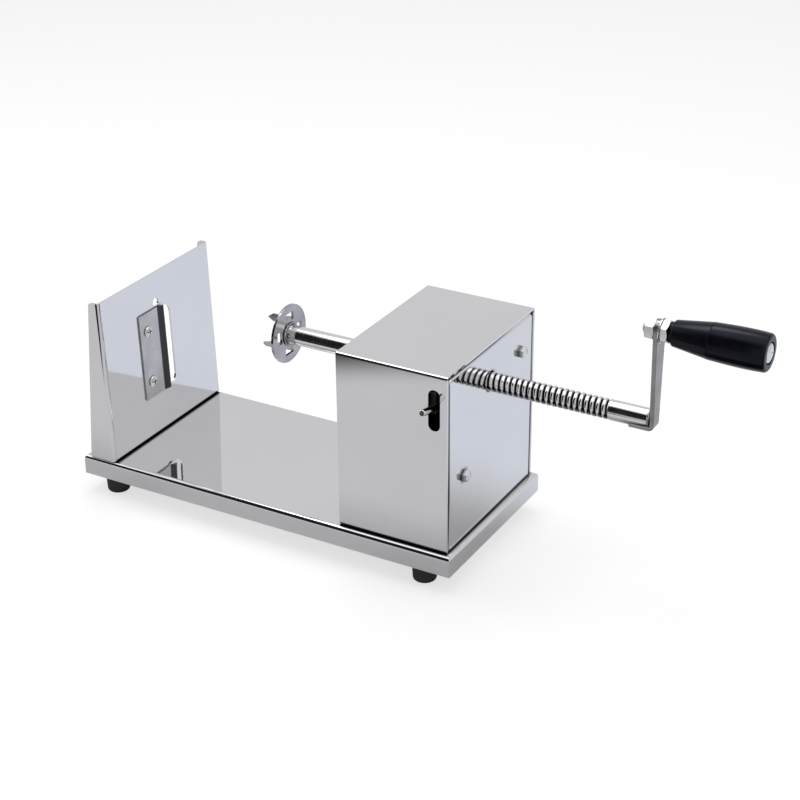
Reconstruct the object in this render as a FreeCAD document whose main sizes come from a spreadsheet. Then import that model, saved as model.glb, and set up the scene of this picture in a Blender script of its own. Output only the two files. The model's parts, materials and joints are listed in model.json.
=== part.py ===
import FreeCAD, Part
import math
import os
import re

import Sketcher
from FreeCAD import Placement, Rotation, Vector

# Hand cranked spiral potato cutter.
# Bench coordinates: x runs from the blade end of the base to the crank, y from its front to its rear,
# z up from the table. Every finished piece is shifted so that the row's origin is the middle of the
# overall box, at table height.

DRIVING_SIZES = {
    # base tray and feet
    "base_length": 300.0,
    "base_width": 134.0,
    "base_height": 14.7,
    "base_sheet": 1.5,
    "base_bend": 3.2,
    "foot_drop": 14.4,
    "foot_top_radius": 9.3,
    "foot_tip_radius": 8.2,
    "foot_edge": 2.0,
    "foot_inset_blade_end": 19.0,
    "foot_inset_crank_end": 25.5,
    "foot_inset_side": 13.0,
    "foot_recess_radius": 4.6,
    "foot_recess_depth": 9.0,
    # screws under the tray, with their nuts
    "base_screw_radius": 2.0,
    "base_screw_head_radius": 3.8,
    "base_screw_head": 2.2,
    "base_nut_flats": 7.0,
    "base_nut": 3.2,
    "screw_hole_play": 0.25,
    "thread_play": 0.05,
    # blade stand, leaning back from its foot
    "stand_foot": 28.3,
    "stand_lean": 1.95,
    "stand_headroom": 22.34,
    "stand_side_gap": 0.7,
    "stand_sheet": 1.5,
    "stand_bend": 3.0,
    "stand_top_depth": 8.6,
    "stand_bottom_depth": 22.3,
    "stand_corner": 3.0,
    "stand_screw_back": 10.0,
    "stand_screw_spread": 28.0,
    "skewer_hole_radius": 3.25,
    "slice_slot_left": -2.2,
    "slice_slot_right": 15.6,
    "slice_slot_top": 5.5,
    "slice_slot_bottom": 69.5,
    "slice_slot_corner": 8.0,
    # cutting blade, measured from the spindle axis
    "blade_sheet": 1.2,
    "blade_left": -22.4,
    "blade_bend_line": -1.0,
    "blade_wing": 6.8,
    "blade_wing_angle": 20.0,
    "blade_grind": 1.8,
    "blade_edge": 0.2,
    "blade_top": 3.6,
    "blade_bottom": 69.2,
    "blade_screw_side": -13.8,
    "blade_screw_high": 17.5,
    "blade_screw_low": 56.8,
    "blade_screw_radius": 2.0,
    "blade_screw_head_radius": 4.1,
    "blade_screw_head": 2.0,
    "blade_nut_flats": 7.0,
    "blade_nut": 3.2,
    # housing
    "housing_length": 82.0,
    "housing_headroom": 27.6,
    "housing_margin": 4.2,
    "cover_sheet": 1.5,
    "cover_bend": 3.8,
    "cover_lip_bend": 2.2,
    "cover_lip": 17.0,
    "cover_lip_gap": 1.0,
    "cover_screw_inset": 17.0,
    "lever_slot_inset": 9.4,
    "lever_slot_radius": 4.3,
    "lever_slot_low": -11.9,
    "lever_slot_high": 17.3,
    "panel_sheet": 1.5,
    "panel_gap": 1.2,
    "panel_depth": 10.0,
    "panel_rim": 4.6,
    "panel_bend": 2.0,
    "panel_corner": 3.6,
    "panel_screw_inset": 6.0,
    "panel_screw_spread": 32.0,
    "spindle_hole_play": 0.5,
    # bush in the blade side panel
    "bush_radius": 10.0,
    "bush_flange_radius": 13.0,
    "bush_flange": 2.0,
    "bush_tail": 8.0,
    "bush_play": 0.05,
    "bush_end_play": 0.1,
    # spindle and its round thread
    "spindle_side": 64.5,
    "spindle_height": 101.1,
    "spindle_radius": 6.8,
    "spindle_length": 269.5,
    "disc_back": 139.5,
    "thread_pitch": 4.0,
    "thread_core_radius": 6.05,
    "thread_throw": 0.7,
    "thread_start": 100.5,
    "thread_length": 144.0,
    "skewer_bore_radius": 3.0,
    "skewer_bore_depth": 235.0,
    # prong disc
    "disc_radius": 21.0,
    "disc_sheet": 2.0,
    "prong_inner": 9.6,
    "prong_width": 5.6,
    "prong_sheet": 1.6,
    "prong_window": 11.0,
    "prong_length": 12.0,
    "prong_point": 4.0,
    # crank arm
    "crank_throw": 62.3,
    "arm_sheet": 3.0,
    "arm_bend": 1.0,
    "arm_foot": 13.0,
    "arm_foot_width": 9.0,
    "arm_top_width": 14.0,
    "arm_rounding": 6.9,
    # grip and its axle
    "axle_radius": 4.0,
    "axle_tail": 2.0,
    "axle_head_radius": 6.6,
    "axle_head": 3.0,
    "axle_head_edge": 2.2,
    "axle_nut_flats": 13.0,
    "axle_nut": 6.5,
    "axle_washer": 1.0,
    "axle_washer_radius": 8.0,
    "axle_collar_flats": 14.0,
    "axle_collar": 5.0,
    "grip_play": 0.05,
    "grip_end_play": 0.3,
    "grip_length": 63.5,
    "grip_neck_radius": 6.8,
    "grip_neck": 2.0,
    "grip_start_radius": 8.4,
    "grip_shoulder": 27.0,
    "grip_shoulder_radius": 11.9,
    "grip_swell": 50.0,
    "grip_swell_radius": 12.6,
    "grip_end_radius": 12.2,
    "grip_rounding": 2.0,
    "grip_recess_play": 0.5,
    "grip_recess_depth": 2.4,
    # bolts that cross the housing
    "cross_bolt_radius": 2.5,
    "cross_bolt_flats": 8.0,
    "cross_bolt_head": 3.5,
    "cross_bolt_tail": 2.0,
    "cross_nut": 4.0,
    "cross_hole_play": 0.2,
    "pivot_inset": 20.3,
    "pivot_rise": 2.7,
    "anchor_inset": 23.7,
    "anchor_rise": -52.9,
    "sleeve_radius": 4.5,
    "sleeve_play": 0.1,
    "lever_end_play": 0.15,
    # release lever with its half nut
    "lever_inset": 12.8,
    "lever_sheet": 4.0,
    "lever_pivot_play": 0.05,
    "lever_shoulder": 14.0,
    "lever_crown": 19.0,
    "lever_notch": 8.6,
    "lever_heel": 7.7,
    "lever_jaw": 10.0,
    "lever_tip_gap": 7.8,
    "lever_tip_high": 12.0,
    "lever_tip_low": 5.0,
    "lever_rounding": 3.0,
    "half_nut_length": 14.0,
    "half_nut_half_width": 11.0,
    "half_nut_low": 1.0,
    "half_nut_high": 18.0,
    "half_nut_clearance": 0.15,
    "rivet_side": 7.6,
    "rivet_rise": 13.6,
    "rivet_radius": 2.0,
    "rivet_play": 0.05,
    "rivet_depth": 8.0,
    "rivet_head_radius": 3.4,
    "rivet_head": 1.2,
    "pin_radius": 2.2,
    "pin_tilt": 12.0,
    "pin_rise": 3.9,
    "pin_reach": 14.2,
    "pin_hold": 17.0,
    "pin_edge": 0.6,
    # return spring, a close wound draw spring with a ring at each end
    "spring_radius": 3.5,
    "spring_wire": 0.9,
    "ring_radius": 3.25,
    "ring_slack": 0.3,
    "ring_web": 2.0,
    "ring_hole_radius": 1.6,
}

# Places that follow from the driving sizes.
DERIVED_SIZES = {
    "tray_top": "foot_drop + base_height",
    "axis_z": "tray_top + spindle_height",
    "housing_right": "base_length - housing_margin",
    "housing_left": "housing_right - housing_length",
    "housing_front": "housing_margin",
    "housing_rear": "base_width - housing_margin",
    "housing_top": "axis_z + housing_headroom",
    "foot_left_x": "foot_inset_blade_end",
    "foot_right_x": "base_length - foot_inset_crank_end",
    "foot_front_y": "foot_inset_side",
    "foot_rear_y": "base_width - foot_inset_side",
    "stand_screw_x": "stand_foot - stand_screw_back",
    "cover_inner_front": "housing_front + cover_sheet",
    "cover_inner_rear": "housing_rear - cover_sheet",
    "cover_screw_x": "housing_left + cover_screw_inset",
    "panel_front": "cover_inner_front + panel_gap",
    "panel_rear": "cover_inner_rear - panel_gap",
    "panel_top": "housing_top - cover_sheet - panel_gap",
    "panel_left_screw_x": "housing_left + panel_screw_inset",
    "panel_right_screw_x": "housing_right - panel_screw_inset",
    "tray_underside": "tray_top - base_sheet",
    "plate_axis": "spindle_height / cos(stand_lean)",
    "stand_height": "plate_axis + stand_headroom",
    "screw_hole_radius": "base_screw_radius + screw_hole_play",
    "thread_left_x": "disc_back + thread_start",
    "thread_right_x": "thread_left_x + thread_length",
    "spindle_end": "disc_back + spindle_length",
    "arm_inner": "spindle_end + arm_bend",
    "arm_outer": "arm_inner + arm_sheet",
    "flat_drop": "spindle_radius - arm_sheet",
    "crank_z": "axis_z + crank_throw",
    "collar_left": "arm_outer + axle_washer",
    "grip_left": "collar_left + axle_collar + grip_end_play",
    "grip_right": "grip_left + grip_length",
    "head_left": "grip_right - grip_recess_depth + grip_end_play",
    "head_right": "head_left + axle_head",
    "pivot_y": "housing_rear - pivot_inset",
    "pivot_z": "axis_z + pivot_rise",
    "anchor_y": "housing_front + anchor_inset",
    "anchor_z": "axis_z + anchor_rise",
    "panel_inner_right": "housing_right - panel_sheet",
    "panel_inner_left": "housing_left + panel_sheet",
    "lever_right": "housing_right - lever_inset",
    "lever_left": "lever_right - lever_sheet",
    "lever_tip_y": "housing_front + lever_tip_gap",
    "half_nut_left": "lever_left - half_nut_length",
    "slot_x": "housing_right - lever_slot_inset",
    "pin_z": "axis_z + pin_rise",
    "ring_hole_z": "axis_z - lever_tip_low + ring_web + ring_hole_radius",
    "ring_z": "axis_z - lever_tip_low + ring_web / 2",
    "box_right": "head_right",
    "pin_tip_back": "(pin_reach - pin_edge) * cos(pin_tilt)",
    "pin_tip_side": "(pin_radius - pin_edge) * sin(pin_tilt)",
    "box_front": "housing_front - pin_tip_back - pin_tip_side - pin_edge",
    "origin_x": "box_right / 2",
    "origin_y": "(box_front + base_width) / 2",
}

doc = FreeCAD.newDocument("potato_cutter")
sizes = doc.addObject("Spreadsheet::Sheet", "sizes")
finished = []


def fill_sheet():
    """Puts each driving size in a row of the sheet: its name, and its value under an alias."""
    for row, (name, number) in enumerate(DRIVING_SIZES.items(), start=1):
        sizes.set(f"A{row}", name)
        sizes.set(f"B{row}", str(number))
        sizes.setAlias(f"B{row}", name)
    doc.recompute()


def formula(text):
    """Writes the names of sizes in a formula as references to the sheet."""
    def reference(match):
        word = match.group()
        if word in DERIVED_SIZES:
            return "(" + formula(DERIVED_SIZES[word]) + ")"
        if word in DRIVING_SIZES:
            return "sizes." + word
        return word

    return re.sub(r"[a-z][a-z_]*", reference, text)


def value(text):
    return float(sizes.evalExpression(formula(text)))


def bind(thing, **properties):
    for name, text in properties.items():
        thing.setExpression(name, formula(text))


def place(thing, x="0", y="0", z="0"):
    bind(thing, **{"Placement.Base.x": x, "Placement.Base.y": y, "Placement.Base.z": z})


def finish(thing, label, x="0", y="0", z="0", lean=False):
    """Names a sub-part, moves it to its place in the row's frame and keeps it for the export."""
    thing.Label = label
    if lean:
        thing.Placement = Placement(Vector(), Rotation(Vector(0, -1, 0), value("stand_lean")))
        thing.setExpression("Placement.Rotation.Angle", formula("stand_lean"))
    place(thing, f"{x} - origin_x", f"{y} - origin_y", z)
    finished.append(thing)
    return thing


# Sketches

def plane_of(body, role):
    return next(item for item in body.Origin.OriginFeatures if item.Role == role)


def sketch_on(body, role, offset="0"):
    """A sketch on one of the body's own origin planes, moved along the plane's normal."""
    sketch = body.newObject("Sketcher::SketchObject", "Sketch")
    sketch.AttachmentSupport = [(plane_of(body, role), "")]
    sketch.MapMode = "FlatFace"
    sketch.setExpression(".AttachmentOffset.Base.z", formula(offset))
    return sketch


def pin_point(sketch, shape, point, across, up):
    """Holds a point of the sketch at two formulas, or on an axis where a formula is 0."""
    for kind, axis, text in (("DistanceX", -2, across), ("DistanceY", -1, up)):
        if text == "0":
            sketch.addConstraint(Sketcher.Constraint("PointOnObject", shape, point, axis))
            continue
        limit = Sketcher.Constraint(kind, -1, 1, shape, point, value(text))
        index = sketch.addConstraint(limit)
        sketch.setExpression(f"Constraints[{index}]", formula(text))


def outline(sketch, corners):
    """A closed outline of straight lines through corners given as pairs of formulas."""
    spots = [Vector(value(across), value(up), 0) for across, up in corners]
    first = sketch.GeometryCount
    count = len(corners)
    for index in range(count):
        line = Part.LineSegment(spots[index], spots[(index + 1) % count])
        sketch.addGeometry(line, False)
    for index in range(count):
        after = first + (index + 1) % count
        sketch.addConstraint(Sketcher.Constraint("Coincident", first + index, 2, after, 1))
    for index, (across, up) in enumerate(corners):
        pin_point(sketch, first + index, 1, across, up)


def rectangle(sketch, left, right, low, high):
    outline(sketch, [(left, low), (right, low), (right, high), (left, high)])


def hold_radius(sketch, shape, radius):
    index = sketch.addConstraint(Sketcher.Constraint("Radius", shape, value(radius)))
    sketch.setExpression(f"Constraints[{index}]", formula(radius))


def circle(sketch, across, up, radius):
    centre = Vector(value(across), value(up), 0)
    shape = sketch.addGeometry(Part.Circle(centre, Vector(0, 0, 1), value(radius)), False)
    pin_point(sketch, shape, 3, across, up)
    hold_radius(sketch, shape, radius)


def upright_slot(sketch, across, low, high, radius):
    """A slot with round ends: two half circles joined by tangent lines."""
    high_centre = f"{high} - {radius}"
    low_centre = f"{low} + {radius}"
    middle = value(across)
    reach = value(radius)
    top = Vector(middle, value(high_centre), 0)
    bottom = Vector(middle, value(low_centre), 0)
    side = Vector(reach, 0, 0)
    up = Vector(0, 0, 1)
    upper = sketch.addGeometry(Part.ArcOfCircle(Part.Circle(top, up, reach), 0, math.pi), False)
    left = sketch.addGeometry(Part.LineSegment(top - side, bottom - side), False)
    lower_circle = Part.Circle(bottom, up, reach)
    lower = sketch.addGeometry(Part.ArcOfCircle(lower_circle, math.pi, 2 * math.pi), False)
    right = sketch.addGeometry(Part.LineSegment(bottom + side, top + side), False)
    for before, after in ((upper, left), (left, lower), (lower, right), (right, upper)):
        sketch.addConstraint(Sketcher.Constraint("Tangent", before, 2, after, 1))
    hold_radius(sketch, upper, radius)
    pin_point(sketch, upper, 3, across, high_centre)
    pin_point(sketch, lower, 3, across, low_centre)


# Features

def new_body(name):
    return doc.addObject("PartDesign::Body", name)


def pad(body, sketch, length, backwards=False):
    feature = body.newObject("PartDesign::Pad", "Pad")
    feature.Profile = sketch
    feature.Reversed = backwards
    bind(feature, Length=length)
    doc.recompute()
    return feature


def pocket(body, sketch, depth, forwards=False):
    """Cuts the sketch's outline away, against its normal or along it, and checks that it cut."""
    before = body.Tip.Shape.Volume
    feature = body.newObject("PartDesign::Pocket", "Pocket")
    feature.Profile = sketch
    feature.Reversed = forwards
    bind(feature, Length=depth)
    doc.recompute()
    if feature.Shape.Volume >= before - 0.01:
        raise RuntimeError(f"a pocket of {body.Name} cuts nothing")
    return feature


def edges_where(shape, test):
    return [f"Edge{n}" for n, edge in enumerate(shape.Edges, start=1) if test(edge)]


def faces_where(shape, test):
    return [f"Face{n}" for n, face in enumerate(shape.Faces, start=1) if test(face)]


def runs_along(edge, axis):
    """True for a straight edge along the axis numbered 0, 1 or 2."""
    if edge.Curve.TypeId != "Part::GeomLine":
        return False
    way = edge.Vertexes[-1].Point - edge.Vertexes[0].Point
    return abs(abs(way[axis]) - way.Length) < 1e-6


def lies_at(shape, axis, spot):
    """True where the whole edge or face lies at one place on the axis, given as a formula."""
    places = [point.Point[axis] for point in shape.Vertexes]
    return all(abs(place_there - value(spot)) < 1e-5 for place_there in places)


def round_edges(body, test, radius):
    base = body.Tip
    feature = body.newObject("PartDesign::Fillet", "Fillet")
    feature.Base = (base, edges_where(base.Shape, test))
    bind(feature, Radius=radius)
    doc.recompute()
    return feature


def hollow(body, open_face, sheet):
    """Turns the solid into sheet of the given thickness, inside its own outline, open at some faces."""
    base = body.Tip
    feature = body.newObject("PartDesign::Thickness", "Thickness")
    feature.Base = (base, faces_where(base.Shape, open_face))
    feature.Mode = 0
    feature.Join = 0
    feature.Reversed = True
    bind(feature, Value=sheet)
    doc.recompute()
    return feature


def cylinder(radius, length, x="0", y="0", z="0", along="z"):
    """A cylinder that starts at a point and runs along an axis."""
    turn = {"x": Rotation(Vector(0, 1, 0), 90), "y": Rotation(Vector(1, 0, 0), -90), "z": Rotation()}
    rod = doc.addObject("Part::Cylinder", "Cylinder")
    bind(rod, Radius=radius, Height=length)
    rod.Placement = Placement(Vector(), turn[along])
    place(rod, x, y, z)
    return rod


def hexagon(flats, length, x="0", y="0", z="0", along="z"):
    """A hexagon bar of a width across flats that starts at a point and runs along an axis."""
    turn = {"x": Rotation(Vector(0, 1, 0), 90), "z": Rotation()}
    bar = doc.addObject("Part::Prism", "Prism")
    bar.Polygon = 6
    bind(bar, Circumradius=f"{flats} / 2 / cos(30)", Height=length)
    bar.Placement = Placement(Vector(), turn[along])
    place(bar, x, y, z)
    return bar


def fuse(things):
    joined = doc.addObject("Part::MultiFuse", "Fusion")
    joined.Shapes = things
    return joined


def cut(base, tool):
    remainder = doc.addObject("Part::Cut", "Cut")
    remainder.Base = base
    remainder.Tool = tool
    return remainder


def group(things):
    bundle = doc.addObject("Part::Compound", "Compound")
    bundle.Links = things
    return bundle


def turned(name, corners, upright=False):
    """A body turned about the x axis, or z if upright: each corner is a place along it and a radius."""
    body = new_body(name)
    sketch = sketch_on(body, "XZ_Plane")
    outline(sketch, [(radius, spot) if upright else (spot, radius) for spot, radius in corners])
    feature = body.newObject("PartDesign::Revolution", "Revolution")
    feature.Profile = sketch
    feature.ReferenceAxis = (sketch, ["V_Axis" if upright else "H_Axis"])
    feature.Angle = 360
    doc.recompute()
    return body


def thread(core, length, x, y, z):
    """A round thread: a circle carried up a helix that is narrower than the circle, laid along x."""
    helix = doc.addObject("Part::Helix", "Helix")
    helix.SegmentLength = 1
    bind(helix, Pitch="thread_pitch", Height=length, Radius="thread_throw")
    ring = doc.addObject("Part::Circle", "Circle")
    bind(ring, Radius=core)
    place(ring, "thread_throw")
    sweep = doc.addObject("Part::Sweep", "Sweep")
    sweep.Sections = [ring]
    sweep.Spine = (helix, [])
    sweep.Solid = True
    sweep.Frenet = True
    sweep.Placement = Placement(Vector(), Rotation(Vector(0, 1, 0), 90))
    place(sweep, x, y, z)
    return sweep


# Base tray and feet

# Each screw's place, and the sheet that it clamps to the tray.
FOOT_SPOTS = {
    "front_left": ("foot_left_x", "foot_front_y", "stand_sheet"),
    "front_right": ("foot_right_x", "foot_front_y", "cover_sheet"),
    "rear_left": ("foot_left_x", "foot_rear_y", "stand_sheet"),
    "rear_right": ("foot_right_x", "foot_rear_y", "cover_sheet"),
}
STAND_SCREW_SPOTS = [
    ("stand_screw_x", "spindle_side - stand_screw_spread", "stand_sheet"),
    ("stand_screw_x", "spindle_side + stand_screw_spread", "stand_sheet"),
]
COVER_SCREW_SPOTS = [
    ("cover_screw_x", "foot_front_y", "cover_sheet"),
    ("cover_screw_x", "foot_rear_y", "cover_sheet"),
]
PANEL_SCREW_SPOTS = [
    (screw_x, f"spindle_side {side} panel_screw_spread", "panel_sheet")
    for screw_x in ("panel_left_screw_x", "panel_right_screw_x")
    for side in "-+"
]


def screw_holes(sketch, spots):
    for x, y, _ in spots:
        circle(sketch, x, y, "screw_hole_radius")


def base_tray():
    body = new_body("base_tray")
    sketch = sketch_on(body, "XY_Plane", "foot_drop")
    rectangle(sketch, "0", "base_length", "0", "base_width")
    pad(body, sketch, "base_height")
    round_edges(body, lambda edge: lies_at(edge, 2, "tray_top"), "base_bend")
    hollow(body, lambda face: lies_at(face, 2, "foot_drop"), "base_sheet")
    holes = sketch_on(body, "XY_Plane", "foot_drop")
    screw_holes(holes, [*FOOT_SPOTS.values(), *STAND_SCREW_SPOTS, *COVER_SCREW_SPOTS, *PANEL_SCREW_SPOTS])
    pocket(body, holes, "base_height", forwards=True)
    finish(body, "base_tray")


def foot(label, x, y):
    body = turned(label, [
        ("0", "foot_recess_radius"),
        ("0", "foot_tip_radius"),
        ("tray_underside", "foot_top_radius"),
        ("tray_underside", "screw_hole_radius"),
        ("foot_recess_depth", "screw_hole_radius"),
        ("foot_recess_depth", "foot_recess_radius"),
    ], upright=True)
    tip = value("foot_tip_radius")

    def outer_rim(edge):
        return lies_at(edge, 2, "0") and abs(edge.Vertexes[0].Point.x) > tip - 0.01

    round_edges(body, outer_rim, "foot_edge")
    finish(body, label, x, y)


def clamp_screw(x, y, sheet, seat):
    """A screw from below: its head under the seat, its shank up through the tray and its nut."""
    head = cylinder("base_screw_head_radius", "base_screw_head", x, y, f"{seat} - base_screw_head")
    shank = cylinder("base_screw_radius", f"tray_top + {sheet} + base_nut + 1 - ({seat})", x, y, seat)
    return fuse([head, shank])


def clamp_nut(x, y, sheet):
    nut = hexagon("base_nut_flats", "base_nut", x, y, f"tray_top + {sheet}")
    bore = cylinder("base_screw_radius + thread_play", "base_nut", x, y, f"tray_top + {sheet}")
    return cut(nut, bore)


def clamp(name, spots, seat):
    finish(group([clamp_screw(*spot, seat) for spot in spots]), f"{name}_screws")
    finish(group([clamp_nut(*spot) for spot in spots]), f"{name}_nuts")


def base_and_feet():
    base_tray()
    for corner, (x, y, _) in FOOT_SPOTS.items():
        foot(f"foot_{corner}", x, y)
    clamp("foot", list(FOOT_SPOTS.values()), "foot_recess_depth")
    clamp("stand", STAND_SCREW_SPOTS, "tray_underside")
    clamp("housing", COVER_SCREW_SPOTS + PANEL_SCREW_SPOTS, "tray_underside")


# Blade stand and blade. Their own frame starts at the foot of the plate and leans with it.

def blade_screw_heights():
    return [f"plate_axis - {drop}" for drop in ("blade_screw_high", "blade_screw_low")]


def blade_stand():
    body = new_body("blade_stand")
    sketch = sketch_on(body, "XZ_Plane", "-stand_side_gap")
    outline(sketch, [
        ("0", "0"),
        ("0", "stand_height"),
        ("-stand_top_depth", "stand_height"),
        ("-stand_bottom_depth * cos(stand_lean)", "stand_bottom_depth * sin(stand_lean)"),
    ])
    pad(body, sketch, "base_width - 2 * stand_side_gap", backwards=True)
    round_edges(body, lambda edge: lies_at(edge, 0, "0") and not lies_at(edge, 2, "stand_height"),
                "stand_bend")

    def top_rear(edge):
        return lies_at(edge, 0, "-stand_top_depth") and lies_at(edge, 2, "stand_height")

    round_edges(body, top_rear, "stand_corner")
    low = value("stand_bottom_depth * sin(stand_lean)")

    def is_open(face):
        across = face.normalAt(0, 0).y
        middle = face.CenterOfMass
        return abs(across) < 0.5 and middle.z > low + 1 and middle.x < value("-stand_top_depth") / 3

    hollow(body, is_open, "stand_sheet")
    front = sketch_on(body, "YZ_Plane")
    rectangle(front, "spindle_side + slice_slot_left", "spindle_side + slice_slot_right",
              "plate_axis - slice_slot_bottom", "plate_axis - slice_slot_top")
    pocket(body, front, "stand_bend")
    slot_side = "spindle_side + slice_slot_right"
    round_edges(body, lambda edge: runs_along(edge, 0) and lies_at(edge, 1, slot_side), "slice_slot_corner")
    holes = sketch_on(body, "YZ_Plane")
    circle(holes, "spindle_side", "plate_axis", "skewer_hole_radius")
    for height in blade_screw_heights():
        circle(holes, "spindle_side + blade_screw_side", height, "blade_screw_radius + screw_hole_play")
    pocket(body, holes, "stand_bend")
    seats = sketch_on(body, "XY_Plane")
    for x, y, _ in STAND_SCREW_SPOTS + [FOOT_SPOTS["front_left"], FOOT_SPOTS["rear_left"]]:
        along = f"({x} - stand_foot) * cos(stand_lean) + stand_sheet / 2 * sin(stand_lean)"
        circle(seats, along, y, "screw_hole_radius")
    pocket(body, seats, "stand_bottom_depth * sin(stand_lean) + 2 * stand_sheet", forwards=True)
    finish(body, "blade_stand", "stand_foot", "0", "tray_top", lean=True)


def cutting_blade():
    """A flat strip on the plate, with a bent wing that is ground to an edge over the slot."""
    body = new_body("cutting_blade")
    sketch = sketch_on(body, "XY_Plane", "plate_axis - blade_bottom")
    bend = "spindle_side + blade_bend_line"
    inner = f"{bend} - blade_sheet * tan(blade_wing_angle / 2)"
    outline(sketch, [
        ("0", "spindle_side + blade_left"),
        ("blade_sheet", "spindle_side + blade_left"),
        ("blade_sheet", inner),
        ("blade_sheet + (blade_wing - blade_grind) * sin(blade_wing_angle)",
         f"{inner} + (blade_wing - blade_grind) * cos(blade_wing_angle)"),
        ("blade_wing * sin(blade_wing_angle) + blade_edge * cos(blade_wing_angle)",
         f"{bend} + blade_wing * cos(blade_wing_angle) - blade_edge * sin(blade_wing_angle)"),
        ("blade_wing * sin(blade_wing_angle)", f"{bend} + blade_wing * cos(blade_wing_angle)"),
        ("0", bend),
    ])
    pad(body, sketch, "blade_bottom - blade_top")
    holes = sketch_on(body, "YZ_Plane")
    for height in blade_screw_heights():
        circle(holes, "spindle_side + blade_screw_side", height, "blade_screw_radius + screw_hole_play")
    pocket(body, holes, "blade_sheet", forwards=True)
    finish(body, "cutting_blade", "stand_foot", "0", "tray_top", lean=True)


def blade_fasteners():
    screws = []
    nuts = []
    side = "spindle_side + blade_screw_side"
    back = "-stand_sheet - blade_nut"
    for height in blade_screw_heights():
        head = cylinder("blade_screw_head_radius", "blade_screw_head", "blade_sheet", side, height, "x")
        shank = cylinder("blade_screw_radius", "blade_sheet + stand_sheet + blade_nut + 1",
                         f"{back} - 1", side, height, "x")
        screws.append(fuse([head, shank]))
        nut = hexagon("blade_nut_flats", "blade_nut", back, side, height, "x")
        bore = cylinder("blade_screw_radius + thread_play", "blade_nut", back, side, height, "x")
        nuts.append(cut(nut, bore))
    finish(group(screws), "blade_screws", "stand_foot", "0", "tray_top", lean=True)
    finish(group(nuts), "blade_nuts", "stand_foot", "0", "tray_top", lean=True)


# Housing

def housing_cover():
    body = new_body("housing_cover")
    sketch = sketch_on(body, "YZ_Plane", "housing_left")
    rectangle(sketch, "housing_front", "housing_rear", "tray_top", "housing_top")
    pad(body, sketch, "housing_length")
    round_edges(body, lambda edge: runs_along(edge, 0) and lies_at(edge, 2, "housing_top"), "cover_bend")
    round_edges(body, lambda edge: runs_along(edge, 0) and lies_at(edge, 2, "tray_top"), "cover_lip_bend")
    hollow(body, lambda face: lies_at(face, 0, "housing_left") or lies_at(face, 0, "housing_right"),
           "cover_sheet")
    middle = sketch_on(body, "XY_Plane", "tray_top")
    rectangle(middle, "housing_left", "housing_right",
              "housing_front + cover_lip", "housing_rear - cover_lip")
    pocket(body, middle, "cover_lip_bend", forwards=True)
    ends = sketch_on(body, "XY_Plane", "tray_top")
    relief = "panel_bend + cover_lip_gap"
    left_end = ("housing_left", f"housing_left + {relief}")
    right_end = (f"housing_right - ({relief})", "housing_right")
    for left, right in (left_end, right_end):
        rectangle(ends, left, right, "cover_inner_front", "cover_inner_rear")
    pocket(body, ends, "cover_lip_bend", forwards=True)
    holes = sketch_on(body, "XY_Plane", "tray_top")
    screw_holes(holes, COVER_SCREW_SPOTS + [FOOT_SPOTS["front_right"], FOOT_SPOTS["rear_right"]])
    pocket(body, holes, "cover_lip_bend", forwards=True)
    slot = sketch_on(body, "XZ_Plane", "-housing_front")
    upright_slot(slot, "slot_x", "axis_z + lever_slot_low", "axis_z + lever_slot_high", "lever_slot_radius")
    pocket(body, slot, "cover_bend")
    finish(body, "housing_cover")


def end_panel(label, left, right, outer, spindle_hole):
    """A pan with its rims turned inwards, narrower than its foot, which the cover's lips notch."""
    body = new_body(label)
    sketch = sketch_on(body, "YZ_Plane", left)
    rectangle(sketch, "panel_front", "panel_rear", "tray_top", "panel_top")
    pad(body, sketch, "panel_depth")
    round_edges(body, lambda edge: runs_along(edge, 0) and lies_at(edge, 2, "panel_top"), "panel_corner")
    round_edges(body, lambda edge: lies_at(edge, 0, outer), "panel_bend")
    inner = left if outer == right else right
    hollow(body, lambda face: lies_at(face, 0, inner), "panel_sheet")
    rims = sketch_on(body, "XZ_Plane", "-panel_front")
    spared = (left, f"{right} - panel_rim") if outer == right else (f"{left} + panel_rim", right)
    rectangle(rims, *spared, "tray_top + panel_sheet", "panel_top")
    pocket(body, rims, "panel_rear - panel_front")
    corners = sketch_on(body, "XY_Plane", "tray_top")
    spare = ("panel_bend", "0") if outer == left else ("0", "panel_bend")
    for front, rear in (("panel_front", "housing_front + cover_lip + cover_lip_gap"),
                        ("housing_rear - cover_lip - cover_lip_gap", "panel_rear")):
        rectangle(corners, f"{left} + {spare[0]}", f"{right} - {spare[1]}", front, rear)
    pocket(body, corners, "cover_sheet + cover_lip_gap", forwards=True)
    holes = sketch_on(body, "YZ_Plane", left)
    circle(holes, "spindle_side", "axis_z", spindle_hole)
    for y, z in (("pivot_y", "pivot_z"), ("anchor_y", "anchor_z")):
        circle(holes, y, z, "cross_bolt_radius + cross_hole_play")
    pocket(body, holes, "panel_depth", forwards=True)
    screws = sketch_on(body, "XY_Plane", "tray_top")
    screw_x = "panel_left_screw_x" if outer == left else "panel_right_screw_x"
    screw_holes(screws, [spot for spot in PANEL_SCREW_SPOTS if spot[0] == screw_x])
    pocket(body, screws, "panel_bend", forwards=True)
    finish(body, label)


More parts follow.
